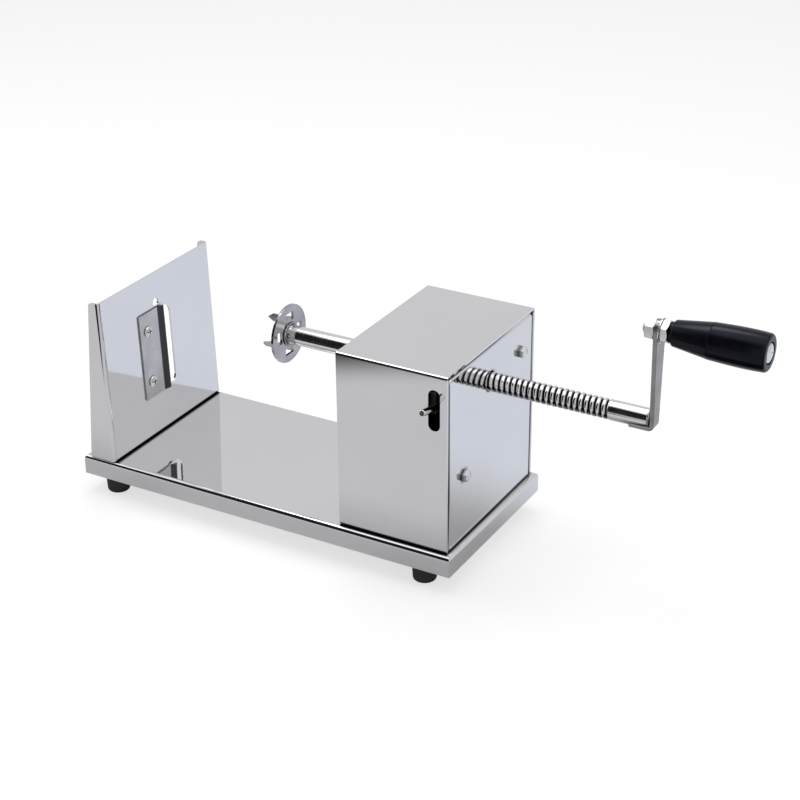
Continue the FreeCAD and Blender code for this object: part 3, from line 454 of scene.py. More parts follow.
def cleaned_copy(node):
    """The node's triangles merged, with its flat faces made whole."""
    work = bmesh.new()
    work.from_mesh(frame["nodes"][node].data)
    bmesh.ops.remove_doubles(work, verts=work.verts, dist=1e-6)
    bmesh.ops.dissolve_limit(work, angle_limit=math.radians(0.5), verts=work.verts, edges=work.edges)
    mesh = bpy.data.meshes.new(node)
    work.to_mesh(mesh)
    work.free()
    return mesh


def broken_edges(name, mesh, edge):
    """The mesh with its sharp edges broken, and its flat faces shaded flat up to the broken edge."""
    sharp = math.radians(50)
    for face in mesh.polygons:
        face.use_smooth = True
    bevel = ("BEVEL", {"width": edge * MM, "segments": 2, "limit_method": "ANGLE", "angle_limit": sharp})
    weigh = ("WEIGHTED_NORMAL", {"mode": "FACE_AREA", "weight": 50, "keep_sharp": True})
    return with_modifiers(name, mesh, bevel, weigh)


def dress(node, finish, edge, press=None):
    """The node's own shape, pressed to a truer one if need be, with its sharp edges broken."""
    mesh = cleaned_copy(node)
    if press:
        press(mesh)
    mesh = broken_edges(f"{node}_metal", mesh, edge)
    return add_piece(f"{node}_metal", mesh, finish, BODY_OF[node], (node,))


# Shapes. Their points are in mm, on an axis that runs along X; meshes are in metres.

def face_outwards(mesh):
    work = bmesh.new()
    work.from_mesh(mesh)
    bmesh.ops.recalc_face_normals(work, faces=work.faces)
    work.to_mesh(mesh)
    work.free()


def ring(along, radius, around=64):
    """Points round the X axis. The radius is a number, or a function of the angle from +Y towards +Z."""
    points = []
    for step in range(around):
        angle = 2 * math.pi * step / around
        reach = radius(angle) if callable(radius) else radius
        points.append(Vector((along, reach * math.cos(angle), reach * math.sin(angle))) * MM)
    return points


def skin(name, rings, closed=False):
    """Joins rings of points. A closed row joins its last ring to its first; an open one gets flat ends."""
    count = len(rings[0])
    total = count * len(rings)
    faces = []
    for row in range(len(rings) if closed else len(rings) - 1):
        here = row * count
        there = (here + count) % total
        for step in range(count):
            after = (step + 1) % count
            faces.append((here + step, here + after, there + after, there + step))
    if not closed:
        faces.append(tuple(reversed(range(count))))
        faces.append(tuple(range(total - count, total)))
    mesh = bpy.data.meshes.new(name)
    mesh.from_pydata([point for points in rings for point in points], [], faces)
    face_outwards(mesh)
    return mesh


def turned(name, profile, closed=False, around=64, sharp=32):
    """A turned shape. The profile's corners are places along X, each with a radius."""
    mesh = skin(name, [ring(along, radius, around) for along, radius in profile], closed)
    smooth_below(mesh, sharp)
    return mesh


def arc(along, radius, reach, start, end, steps=6):
    """Corners of a profile round a centre, between two angles in degrees from the X axis."""
    angles = [math.radians(start + (end - start) * step / steps) for step in range(steps + 1)]
    return [(along + reach * math.cos(angle), radius + reach * math.sin(angle)) for angle in angles]


def joined(name, meshes):
    """One mesh of several, each with its own shading."""
    work = bmesh.new()
    for mesh in meshes:
        work.from_mesh(mesh)
    result = bpy.data.meshes.new(name)
    work.to_mesh(result)
    work.free()
    return result


def moved(mesh, x, y, z):
    mesh.transform(Matrix.Translation((x, y, z)))
    return mesh


def stood_up(mesh):
    """Turns a shape from the X axis to the Z axis."""
    mesh.transform(Matrix.Rotation(math.radians(-90), 4, "Y"))
    return mesh


def size_of(node):
    """A node's lengths along X, Y and Z in mm."""
    low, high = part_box(node)
    return (high - low) / MM


def solids(node):
    """The lowest and highest corner of each separate solid of a node, in the order of its vertices."""
    work = bmesh.new()
    work.from_mesh(frame["nodes"][node].data)
    bmesh.ops.remove_doubles(work, verts=work.verts, dist=1e-6)
    found = set()
    boxes = []
    for first in work.verts:
        if first in found:
            continue
        found.add(first)
        to_visit = [first]
        places = []
        while to_visit:
            vertex = to_visit.pop()
            places.append(vertex.co.copy())
            for edge in vertex.link_edges:
                neighbour = edge.other_vert(vertex)
                if neighbour not in found:
                    found.add(neighbour)
                    to_visit.append(neighbour)
        boxes.append(tuple(Vector(pick(place[axis] for place in places) for axis in range(3))
                           for pick in (min, max)))
    work.free()
    return boxes


HEXAGON_POINTS = 96


def hexagon_radius(flats, widest):
    """The outline of a hexagon with a corner straight up, cut off at the widest radius of its chamfer."""
    def reach(angle):
        from_flat = (angle + math.pi / 6) % (math.pi / 3) - math.pi / 6
        return min(flats / 2 / math.cos(from_flat), widest)

    return reach


def hexagon_rings(flats, start, end, chamfered_start=True):
    """Rings of a hexagon bar whose corners are turned down to a cone of 30 degrees at its ends."""
    steps = 5
    corner = flats / 2 / math.cos(math.pi / 6)
    face = flats / 2 * 0.96
    depth = (corner - face) * math.tan(math.radians(30))

    def cut_ring(along, share):
        return ring(along, hexagon_radius(flats, face + (corner - face) * share), HEXAGON_POINTS)

    shares = [step / steps for step in range(steps + 1)]
    first = shares if chamfered_start else [1.0]
    lead = depth if chamfered_start else 0.0
    rows = [cut_ring(start + lead * share, share) for share in first]
    return rows + [cut_ring(end - depth * share, share) for share in reversed(shares)]


def hexagon_nut(name, flats, thickness, bore):
    lead = 0.35
    inside = [(thickness, bore + lead), (thickness - lead, bore), (lead, bore), (0, bore + lead)]
    rows = hexagon_rings(flats, 0, thickness)
    rows += [ring(place, radius, HEXAGON_POINTS) for place, radius in inside]
    mesh = skin(name, rows, closed=True)
    smooth_below(mesh, 25)
    return mesh


# Geometry Nodes for what repeats

def geometry_tree(name, inputs):
    """An empty geometry tree with named inputs, and the node that gives them."""
    tree = bpy.data.node_groups.new(name, "GeometryNodeTree")
    for label, kind in inputs:
        tree.interface.new_socket(label, in_out="INPUT", socket_type=kind)
    tree.interface.new_socket("Geometry", in_out="OUTPUT", socket_type="NodeSocketGeometry")
    return tree, tree.nodes.new("NodeGroupInput")


def close_tree(tree, start, geometry):
    """Ends a tree in real geometry of one finish."""
    real = tree.nodes.new("GeometryNodeRealizeInstances")
    painted = tree.nodes.new("GeometryNodeSetMaterial")
    end = tree.nodes.new("NodeGroupOutput")
    tree.links.new(geometry, real.inputs[0])
    tree.links.new(real.outputs[0], painted.inputs["Geometry"])
    tree.links.new(start.outputs["Finish"], painted.inputs["Material"])
    tree.links.new(painted.outputs[0], end.inputs[0])


def make_copies_tree():
    """A copy of one shape at each point of a mesh."""
    tree, start = geometry_tree("copies_at_points", [
        ("Points", "NodeSocketGeometry"),
        ("Shape", "NodeSocketObject"),
        ("Size", "NodeSocketFloat"),
        ("Finish", "NodeSocketMaterial"),
    ])
    shape = tree.nodes.new("GeometryNodeObjectInfo")
    copies = tree.nodes.new("GeometryNodeInstanceOnPoints")
    tree.links.new(start.outputs["Shape"], shape.inputs["Object"])
    tree.links.new(start.outputs["Points"], copies.inputs["Points"])
    tree.links.new(shape.outputs["Geometry"], copies.inputs["Instance"])
    tree.links.new(start.outputs["Size"], copies.inputs["Scale"])
    close_tree(tree, start, copies.outputs[0])
    return tree


def make_spring_tree():
    """A close wound coil of round wire that climbs the Z axis."""
    tree, start = geometry_tree("wire_coil", [
        ("Turns", "NodeSocketFloat"),
        ("Coil Radius", "NodeSocketFloat"),
        ("Wire Radius", "NodeSocketFloat"),
        ("Height", "NodeSocketFloat"),
        ("Finish", "NodeSocketMaterial"),
    ])
    coil = tree.nodes.new("GeometryNodeCurveSpiral")
    coil.inputs["Resolution"].default_value = 24
    wire = tree.nodes.new("GeometryNodeCurvePrimitiveCircle")
    wire.inputs["Resolution"].default_value = 10
    tube = tree.nodes.new("GeometryNodeCurveToMesh")
    tube.inputs["Fill Caps"].default_value = True
    tree.links.new(start.outputs["Turns"], coil.inputs["Rotations"])
    tree.links.new(start.outputs["Coil Radius"], coil.inputs["Start Radius"])
    tree.links.new(start.outputs["Coil Radius"], coil.inputs["End Radius"])
    tree.links.new(start.outputs["Height"], coil.inputs["Height"])
    tree.links.new(start.outputs["Wire Radius"], wire.inputs["Radius"])
    tree.links.new(coil.outputs[0], tube.inputs["Curve"])
    tree.links.new(wire.outputs[0], tube.inputs["Profile Curve"])
    close_tree(tree, start, tube.outputs[0])
    return tree


def grown(name, mesh, tree, **values):
    """The mesh that a geometry tree makes from another mesh, with the tree's inputs set by name."""
    holder = bpy.data.objects.new(name, mesh)
    bpy.context.scene.collection.objects.link(holder)
    modifier = holder.modifiers.new("grow", "NODES")
    modifier.node_group = tree
    for item in tree.interface.items_tree:
        label = item.name.replace(" ", "_").lower()
        if item.in_out == "INPUT" and label in values:
            modifier[item.identifier] = values[label]
    seen = holder.evaluated_get(bpy.context.evaluated_depsgraph_get())
    result = bpy.data.meshes.new_from_object(seen)
    bpy.data.objects.remove(holder)
    result.name = name
    return result


COPIES = make_copies_tree()
WIRE_COIL = make_spring_tree()


def copies_of(name, shape, places, finish):
    """One mesh with a copy of a shape at each place."""
    points = bpy.data.meshes.new(f"{name}_places")
    points.from_pydata(places, [], [])
    pattern = bpy.data.objects.new(f"{name}_shape", shape)
    result = grown(name, points, COPIES, shape=pattern, size=1.0, finish=FINISHES[finish])
    bpy.data.objects.remove(pattern)
    return result


BODIES = frame["record"]["behaviour"]["bodies"]
BODY_OF = {node: body for body, nodes in BODIES.items() for node in nodes}


def stand_for(node, mesh, finish):
    """Puts a mesh in a node's place, on the node's own body."""
    return add_piece(f"{node}_finished", mesh, finish, BODY_OF[node], (node,))


# Sheet metal, in the nodes' own shapes apart from the cover's two top bends

COVER_BEND = 3.8
PRESSED_BEND = 1.8


def sharper_top_bends(mesh):
    """Draws the cover's two top bends in to a smaller radius. Its flat faces stay in their planes."""
    low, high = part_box("housing_cover")
    halfway = middle("housing_cover").y
    for vertex in mesh.vertices:
        rear = vertex.co.y > halfway
        face, inwards = (high.y, -1.0) if rear else (low.y, 1.0)
        centre = Vector((0.0, face + inwards * COVER_BEND * MM, high.z - COVER_BEND * MM))
        out = Vector((0.0, vertex.co.y, vertex.co.z)) - centre
        if out.z < -1e-6 or out.y * inwards > 1e-6:
            continue
        pressed = Vector((0.0, face + inwards * PRESSED_BEND * MM, high.z - PRESSED_BEND * MM))
        place = pressed + out.normalized() * (out.length - (COVER_BEND - PRESSED_BEND) * MM)
        vertex.co.y = place.y
        vertex.co.z = place.z


def sheet_metal():
    edge = 0.15
    for node in ("base_tray", "blade_stand"):
        dress(node, "sheet", edge)
    for node in ("crank_side_panel", "blade_side_panel"):
        dress(node, "housing", edge)
    dress("housing_cover", "housing", edge, sharper_top_bends)


# Feet and the screws under the tray

def foot_shape(height, top, tip):
    """A tapered rubber foot with a screw recess in its underside."""
    recess_radius = 4.6
    recess_depth = 9.0
    rounding = 2.0
    profile = [
        (recess_depth, 2.4),
        (recess_depth, recess_radius),
        (0.4, recess_radius),
        (0.0, recess_radius + 0.4),
        *arc(rounding, tip - rounding, rounding, 180, 90, 7),
        (height - 0.8, top),
        (height, top - 0.8),
        (height, 2.4),
    ]
    return stood_up(turned("foot", profile, closed=True))


def feet():
    for corner in ("front_left", "front_right", "rear_left", "rear_right"):
        node = f"foot_{corner}"
        width, _, height = size_of(node)
        place = middle(node)
        mesh = foot_shape(height, width / 2, width / 2 - 1.1)
        stand_for(node, moved(mesh, place.x, place.y, 0.0), "rubber")


def pan_head_screw(length, head_radius, head, shank_radius):
    """A screw whose domed head is at the low end. Its thread's end is chamfered."""
    rim = 0.5
    chamfer = 0.5
    rise = head - rim
    dome = [(0.0, 0.8)]
    for turn in range(80, -10, -10):
        angle = math.radians(turn)
        dome.append((rise - rise * math.sin(angle), head_radius * math.cos(angle)))
    profile = [*dome, (head, head_radius), (head, shank_radius), (length - chamfer, shank_radius),
               (length, shank_radius - chamfer)]
    return turned("pan_head_screw", profile, around=32)


def fasten(node, shape_for):
    """A copy of one upright fastener in the place of each of a node's solids, made to their size."""
    boxes = solids(node)
    low, high = boxes[0]
    shape = stood_up(shape_for((high - low) / MM))
    places = [Vector(((low.x + high.x) / 2, (low.y + high.y) / 2, low.z)) for low, high in boxes]
    stand_for(node, copies_of(f"{node}_finished", shape, places, "zinc"), "zinc")


def tray_fasteners():
    """The screws that stand under the tray with their heads down, and the nuts on top of them."""
    head_radius = 3.8
    head = 2.2
    shank_radius = 2.0
    bore = 2.05
    for group in ("foot", "stand", "housing"):
        fasten(f"{group}_screws", lambda size: pan_head_screw(size.z, head_radius, head, shank_radius))
        fasten(f"{group}_nuts", lambda size: hexagon_nut("nut", size.y, size.z, bore))


# Blade with its screws. Their own frame leans with the plate of the stand.

STAND_LEAN = math.radians(1.95)
STAND_FOOT = Vector((BENCH_LEFT + 28.3 * MM, 0.0, TRAY_TOP))
LEANING = Matrix.Translation(STAND_FOOT) @ Matrix.Rotation(-STAND_LEAN, 4, "Y")
BLADE_SIDE = -13.8
BLADE_SCREW_DROPS = (17.5, 56.8)
BLADE_SHEET = 1.2


def carved(name, mesh, tool):
    """The mesh with the tool's shape taken out of it."""
    cutter = bpy.data.objects.new("cutter", tool)
    bpy.context.scene.collection.objects.link(cutter)
    carve = ("BOOLEAN", {"operation": "DIFFERENCE", "solver": "EXACT", "object": cutter})
    result = with_modifiers(name, mesh, carve)
    bpy.data.objects.remove(cutter)
    return result


def bar(low, high):
    """A box between two corners in mm."""
    work = bmesh.new()
    bmesh.ops.create_cube(work, size=1.0)
    for vertex in work.verts:
        vertex.co = Vector((low[axis] if vertex.co[axis] < 0 else high[axis]) * MM for axis in range(3))
    mesh = bpy.data.meshes.new("bar")
    work.to_mesh(mesh)
    work.free()
    return mesh


BLADE_SCREW_HEAD = 2.0
BLADE_SCREW_LENGTH = 9.9
BLADE_NUT_SEAT = -4.7


def cross_head_screw():
    """A round headed screw with a cross recess. Its head is at the low end of the axis."""
    head_radius = 4.1
    slot = 0.42
    reach = 2.3
    depth = 1.15
    shape = pan_head_screw(BLADE_SCREW_LENGTH, head_radius, BLADE_SCREW_HEAD, 2.0)
    for half_width, half_length in ((slot, reach), (reach, slot)):
        tool = bar((-1.0, -half_width, -half_length), (depth, half_width, half_length))
        shape = carved("cross_head_screw", shape, tool)
    smooth_below(shape, 32)
    return shape


def blade_and_screws():
    dress("cutting_blade", "blade", 0.08)
    axis_height = (SPINDLE_AXIS.z - TRAY_TOP) / math.cos(STAND_LEAN)
    side = SPINDLE_AXIS.y + BLADE_SIDE * MM
    head_top = (BLADE_SHEET + BLADE_SCREW_HEAD) * MM
    screws = []
    nuts = []
    for drop in BLADE_SCREW_DROPS:
        height = axis_height - drop * MM
        screw = cross_head_screw()
        screw.transform(Matrix.Rotation(math.pi, 4, "Z"))
        screws.append(moved(screw, head_top, side, height))
        nuts.append(moved(hexagon_nut("nut", 7.0, 3.2, 2.05), BLADE_NUT_SEAT * MM, side, height))
    for node, parts in (("blade_screws", screws), ("blade_nuts", nuts)):
        mesh = joined(f"{node}_finished", parts)
        mesh.transform(LEANING)
        stand_for(node, mesh, "screw")


# Housing: bush, bolts and sleeves

def bush():
    low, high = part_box("blade_side_bush")
    length = (high.x - low.x) / MM
    flange = 2.0
    neck_end = flange + 1.7
    profile = [
        (0.5, 6.85),
        (0.0, 7.35),
        *arc(0.6, 12.4, 0.6, 180, 90, 4),
        *arc(flange - 0.3, 12.7, 0.3, 90, 0, 3),
        (flange, 10.0),
        (neck_end, 10.0),
        (neck_end, 13.0),
        (neck_end + flange - 0.6, 13.0),
        (neck_end + flange, 10.4),
        (length - 0.5, 10.0),
        (length, 9.5),
        (length, 7.35),
        (length - 0.5, 6.85),
    ]
    mesh = turned("bush", profile, closed=True)
    stand_for("blade_side_bush", moved(mesh, low.x, SPINDLE_AXIS.y, SPINDLE_AXIS.z), "nylon")


def hexagon_bolt(flats, head, length, shank_radius):
    """A bolt with its head at the high end of the axis, a little dished."""
    chamfer = 0.5
    dish = 0.15
    start = length - head
    shank = [(0, shank_radius - chamfer), (chamfer, shank_radius), (start, shank_radius)]
    dished = [(length, flats / 2 * 0.80), (length - dish, flats / 2 * 0.76)]
    rows = [ring(place, radius, HEXAGON_POINTS) for place, radius in shank]
    rows += hexagon_rings(flats, start, length, chamfered_start=False)
    rows += [ring(place, radius, HEXAGON_POINTS) for place, radius in dished]
    mesh = skin("hexagon_bolt", rows)
    smooth_below(mesh, 22)
    return mesh


def cross_bolts():
    head = 3.5
    for node in ("pivot_bolt", "spring_bolt"):
        low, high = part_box(node)
        mesh = hexagon_bolt((high.y - low.y) / MM, head, (high.x - low.x) / MM, 2.5)
        place = middle(node)
        stand_for(node, moved(mesh, low.x, place.y, place.z), "bolt")
    nuts = []
    for low, high in solids("cross_bolt_nuts"):
        nut = hexagon_nut("nut", (high.y - low.y) / MM, (high.x - low.x) / MM, 2.55)
        nuts.append(moved(nut, low.x, (low.y + high.y) / 2, (low.z + high.z) / 2))
    stand_for("cross_bolt_nuts", joined("cross_bolt_nuts_finished", nuts), "zinc")


def sleeves():
    bore = 2.6
    lead = 0.3
    for node in ("pivot_sleeve_long", "pivot_sleeve_short"):
        length, width, _ = size_of(node)
        outer = width / 2
        profile = [(0, bore + lead), (0, outer - lead), (lead, outer), (length - lead, outer),
                   (length, outer - lead), (length, bore + lead), (length - lead, bore), (lead, bore)]
        place = middle(node)
        mesh = turned(node, profile, closed=True, around=40)
        stand_for(node, moved(mesh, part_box(node)[0].x, place.y, place.z), "steel")


# Round thread of the spindle, and the half nut that runs on it

THREAD_START = 96.5
THREAD_LENGTH = 148.0
THREAD_PITCH = 4.0
CREST_RADIUS = 6.78
GROOVE_DEPTH = 1.35
GROOVE_NARROWING = 2.6


def thread_radius(along, angle):
    """The round thread: wide crests, and narrow grooves that run out at both ends."""
    turn = 2 * math.pi * along / THREAD_PITCH - math.pi / 2 - angle
    groove = ((1 - math.cos(turn)) / 2) ** GROOVE_NARROWING
    run_out = max(0.0, min(1.0, along / THREAD_PITCH, (THREAD_LENGTH - along) / THREAD_PITCH))
    return CREST_RADIUS - GROOVE_DEPTH * groove * run_out


def thread_ring(start, along, around):
    return ring(start + along, lambda angle: thread_radius(along, angle), around)


def spindle():
    """The rod, bored for a skewer from its left end, threaded, and flattened below for the crank arm."""
    low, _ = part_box("spindle")
    length = size_of("spindle").x
    radius = 6.8
    bore = 3.0
    bore_depth = 235.0
    chamfer = 0.4
    flat_length = 13.0
    flat_drop = 3.8
    around = 72
    steps = round(THREAD_LENGTH / THREAD_PITCH * 16)
    thread_end = THREAD_START + THREAD_LENGTH

    def flattened(angle):
        down = -math.sin(angle)
        return min(radius, flat_drop / down) if down > 0.3 else radius

    def flattened_end(angle):
        return min(flattened(angle), radius - 0.5)

    flat_start = length - flat_length
    left = [(bore_depth, bore), (0.3, bore), (0, bore + 0.3), (0, radius - chamfer), (chamfer, radius),
            (THREAD_START - 0.5, radius)]
    right = [(thread_end + 0.5, radius), (flat_start, radius), (flat_start + 0.02, flattened),
             (length - 0.5, flattened), (length, flattened_end)]
    rows = [ring(place, reach, around) for place, reach in left]
    rows += [thread_ring(THREAD_START, THREAD_LENGTH * step / steps, around) for step in range(steps + 1)]
    rows += [ring(place, reach, around) for place, reach in right]
    mesh = skin("spindle", rows)
    smooth_below(mesh, 40)
    stand_for("spindle", moved(mesh, low.x, SPINDLE_AXIS.y, SPINDLE_AXIS.z), "spindle")


def half_nut():
    """A brass block with the same thread in its underside, a little larger than the spindle's."""
    low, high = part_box("half_nut")
    thread_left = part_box("spindle")[0].x + THREAD_START * MM
    clearance = 0.12
    base = (low.z - SPINDLE_AXIS.z) / MM
    top = (high.z - SPINDLE_AXIS.z) / MM
    side = (high.y - low.y) / 2 / MM
    break_off = 0.6
    first = math.asin(base / CREST_RADIUS)
    outside = [(-side, base), (-side, top - break_off), (-side + break_off, top), (side - break_off, top),
               (side, top - break_off), (side, base)]
    steps = 56
    arch_steps = 40
    rows = []
    for step in range(steps + 1):
        x = low.x + (high.x - low.x) * step / steps
        along = (x - thread_left) / MM
        section = []
        for turn in range(arch_steps + 1):
            angle = first + (math.pi - 2 * first) * turn / arch_steps
            reach = thread_radius(along, angle) + clearance
            height = base if turn in (0, arch_steps) else reach * math.sin(angle)
            section.append((reach * math.cos(angle), height))
        section += outside
        rows.append([Vector((x, SPINDLE_AXIS.y + y * MM, SPINDLE_AXIS.z + z * MM)) for y, z in section])
    mesh = skin("half_nut", rows)
    smooth_below(mesh, 40)
    stand_for("half_nut", mesh, "brass")


# Release

def release():
    dress("release_lever", "steel", 0.3)
    dress("half_nut_rivets", "steel", 0.3)
    dress("thumb_pin", "pin", 0.25)


def hoop(radius, wire):
    """A round wire bent to a ring about the X axis."""
    around = 40
    sides = 12
    section = [2 * math.pi * side / sides for side in range(sides)]
    rows = []
    for step in range(around):
        turn = 2 * math.pi * step / around
        out = Vector((0.0, math.cos(turn), math.sin(turn)))
        rows.append([(out * (radius + wire * math.cos(angle)) + Vector((wire * math.sin(angle), 0, 0))) * MM
                     for angle in section])
    mesh = skin("hoop", rows, closed=True)
    smooth_below(mesh, 60)
    return mesh


def return_spring():
    """A draw spring: close turns, a ring round the lower bolt and a ring through the lever."""
    low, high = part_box("return_spring")
    place = middle("return_spring")
    wire = 0.45
    ring_radius = 3.25
    coil_radius = 3.05
    ring_reach = (ring_radius + wire) * MM
    lower = low.z + ring_reach
    upper = high.z - ring_reach
    coil_low = lower + ring_radius * MM
    coil_high = upper - ring_radius * MM
    turns = (coil_high - coil_low) / MM / (2 * wire * 1.04)
    empty = bpy.data.meshes.new("coil")
    coil = grown("coil", empty, WIRE_COIL, turns=turns, coil_radius=coil_radius * MM, wire_radius=wire * MM,
                 height=coil_high - coil_low, finish=FINISHES["steel"])
    smooth_below(coil, 60)
    round_bolt = hoop(ring_radius, wire)
    through_lever = hoop(ring_radius, wire)
    through_lever.transform(Matrix.Rotation(math.pi / 2, 4, "Z"))
    parts = [
        moved(coil, place.x, place.y, coil_low),
        moved(round_bolt, place.x, place.y, lower),
        moved(through_lever, place.x, place.y, upper),
    ]
    mesh = joined("return_spring_finished", parts)
    piece = add_piece("return_spring_finished", mesh, "steel", None, ("return_spring",))
    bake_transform(piece)


# Prong disc and its weld

def weld_bead(name, radius, bead, lumps, start=0.0, end=360.0):
    """A lumpy ring of weld about the X axis, or a part of one between two angles from +Y."""
    around = 120
    sides = 10
    whole = end - start >= 360.0
    rows = []
    for step in range(around if whole else around + 1):
        turn = math.radians(start + (end - start) * step / around)
        swell = 1.0 + 0.16 * math.sin(turn * lumps) + 0.10 * math.sin(turn * (lumps * 1.7 + 1) + 0.8)
        if not whole:
            swell *= max(0.12, math.sin(math.pi * step / around)) ** 0.35
        out = Vector((0.0, math.cos(turn), math.sin(turn)))
        rows.append([(out * (radius + bead * swell * math.cos(2 * math.pi * side / sides))
                      + Vector((bead * swell * math.sin(2 * math.pi * side / sides), 0, 0))) * MM
                     for side in range(sides)])
    mesh = skin(name, rows, closed=whole)
    smooth_below(mesh, 60)
    return mesh


def add_weld(name, bead, x):
    """Puts a bead of weld round the spindle's axis."""
    add_piece(name, moved(bead, x, SPINDLE_AXIS.y, SPINDLE_AXIS.z), "weld", "spindle")


def prong_disc():
    dress("prong_disc", "disc", 0.2)
    bead = weld_bead("disc_weld", 7.0, 1.25, 7)
    add_weld("disc_weld", bead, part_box("prong_disc")[1].x + 0.3 * MM)


# Crank

def crank_arm():
    dress("crank_arm", "crank", 0.35)
    bead = weld_bead("arm_weld", 5.9, 1.15, 6, start=-28.0, end=208.0)
    add_weld("arm_weld", bead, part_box("spindle")[1].x + 0.1 * MM)


def grip_axle():
    """The axle bolt with its domed head in the grip's end, and its chamfered thread end behind the nut."""
    low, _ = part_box("grip_axle")
    length = size_of("grip_axle").x
    radius = 4.0
    head = 3.0
    head_radius = 6.6
    rim = 1.0
    dimple = 1.3
    dome = [(length - head + rim + (head - rim) * math.sin(math.radians(turn)),
             head_radius * math.cos(math.radians(turn))) for turn in range(0, 78, 6)]
    seat = length - head
    profile = [(0, radius - 0.8), (0.8, radius), (seat, radius), (seat, head_radius - 0.2),
               (seat + 0.2, head_radius), *dome, (length - 0.08, dimple), (length - 0.45, dimple * 0.7)]
    mesh = turned("grip_axle", profile)
    stand_for("grip_axle", moved(mesh, low.x, CRANK_AXIS.y, CRANK_AXIS.z), "zinc")


def axle_rings():
    bore = 4.05
    for node in ("axle_nut", "axle_collar"):
        length, flats, _ = size_of(node)
        mesh = hexagon_nut(node, flats, length, bore)
        stand_for(node, moved(mesh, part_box(node)[0].x, CRANK_AXIS.y, CRANK_AXIS.z), "zinc")
    length, width, _ = size_of("axle_washer")
    outer = width / 2
    edge = 0.2
    profile = [(0, bore), (0, outer - edge), (edge, outer), (length - edge, outer),
               (length, outer - edge), (length, bore)]
    mesh = turned("axle_washer", profile, closed=True)
    stand_for("axle_washer", moved(mesh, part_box("axle_washer")[0].x, CRANK_AXIS.y, CRANK_AXIS.z), "zinc")


def grip():
    """The plastic grip: a neck, a cone up to its ring line, then a slow swell to its rounded end."""
    low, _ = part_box("grip")
    length = size_of("grip").x
    bore = 4.05
    neck_radius = 6.8
    neck = 2.0
    start_radius = 8.4
    line = 27.0
    line_radius = 11.9
    swell = 50.0
    swell_radius = 12.6
    end_radius = 12.2
    rounding = 2.0
    recess_radius = 7.1
    recess = 2.4
    swelling = []
    for step in range(1, 13):
        share = step / 12
        swelling.append((line + 0.5 + (swell - line - 0.5) * share,
                         line_radius + (swell_radius - line_radius) * math.sin(share * math.pi / 2)))
    falling = []
    for step in range(1, 7):
        share = step / 6
        falling.append((swell + (length - rounding - swell) * share,
                        swell_radius - (swell_radius - end_radius) * share ** 2))
    profile = [
        (0.0, bore),
        (0.0, neck_radius - 0.4),
        (0.4, neck_radius),
        (neck - 0.2, neck_radius),
        (neck, neck_radius + 0.2),
        *arc(neck + 1.0, start_radius - 0.85, 1.0, 180, 100, 6),
        (line - 0.35, line_radius - 0.04),
        (line, line_radius - 0.32),
        (line + 0.15, line_radius - 0.32),
        (line + 0.5, line_radius),
        *swelling,
        *falling,
        *arc(length - rounding, end_radius - rounding, rounding, 80, 0, 8),
        (length, recess_radius + 0.3),
        (length - 0.3, recess_radius),
        (length - recess, recess_radius),
        (length - recess, bore),
    ]
    mesh = turned("grip", profile, closed=True, around=96, sharp=30)
    stand_for("grip", moved(mesh, low.x, CRANK_AXIS.y, CRANK_AXIS.z), "grip")


sheet_metal()
feet()
tray_fasteners()
blade_and_screws()
bush()
cross_bolts()
sleeves()
spindle()
half_nut()
release()
return_spring()
prong_disc()
crank_arm()
grip_axle()
axle_rings()
grip()


# Studio

def add_camera():
    """The photograph's own view point, found from the perspective of the box."""
    lens = bpy.data.cameras.new("camera")
    lens.sensor_width = 36.0
    lens.lens = 84.3
    camera = bpy.data.objects.new("camera", lens)
    right = Vector((0.87025, 0.49255, -0.00832))
    up = Vector((-0.21532, 0.39552, 0.89286))
    back = right.cross(up)
    turn = Matrix((right, up, back)).transposed().to_4x4()
    camera.matrix_world = Matrix.Translation((0.55052, -0.98647, TRAY_TOP + 0.64500)) @ turn
    bpy.context.scene.collection.objects.link(camera)
    bpy.context.scene.camera = camera


def area_light(name, place, aim, size, energy):
    data = bpy.data.lights.new(name, "AREA")
    data.shape = "RECTANGLE"
    data.size, data.size_y = size
    data.energy = energy
    lamp = bpy.data.objects.new(name, data)
    lamp.location = place
    lamp.rotation_euler = (Vector(aim) - Vector(place)).to_track_quat("-Z", "Y").to_euler()
    bpy.context.scene.collection.objects.link(lamp)


def add_lights():
    area_light("soft_top", (0.0, 0.1, 1.6), (0, 0, 0.05), (1.8, 1.4), 6.0)
    area_light("top_strip", (-0.50, 0.36, 1.50), (0.05, 0.0, 0.15), (1.0, 0.34), 4.0)
    area_light("soft_left", (-1.3, -0.4, 0.9), (0, 0, 0.08), (0.9, 0.9), 3.0)
    area_light("soft_right", (1.3, 0.3, 0.9), (0, 0, 0.08), (0.9, 0.9), 2.5)


def flat_card(name, corners):
    mesh = bpy.data.meshes.new(name)
    mesh.from_pydata(corners, [], [tuple(range(len(corners)))])
    card = bpy.data.objects.new(name, mesh)
    bpy.context.scene.collection.objects.link(card)
    return card


FRONT_LEFT = (-0.50, -0.866, 0.0)
ACROSS_IT = (-0.866, 0.50, 0.0)


def both(tree, first, second):
    return math_node(tree, "MULTIPLY", first, second)


def dark_card(tree, way, near, wide):
    """1 on a painted dark reflection, as of a card, which polished metal alone sees: in front and to the
    left of the object.
    """
    far = step_between(tree, along(tree, way, FRONT_LEFT), *near)
    return both(tree, far, band_between(tree, along(tree, way, ACROSS_IT), *wide))


STUDIO_FOR_METAL = 0.70
# how bright the painted dark reflections are
DARK_CARD = 0.012
BLUISH = (0.80, 0.86, 1.0)


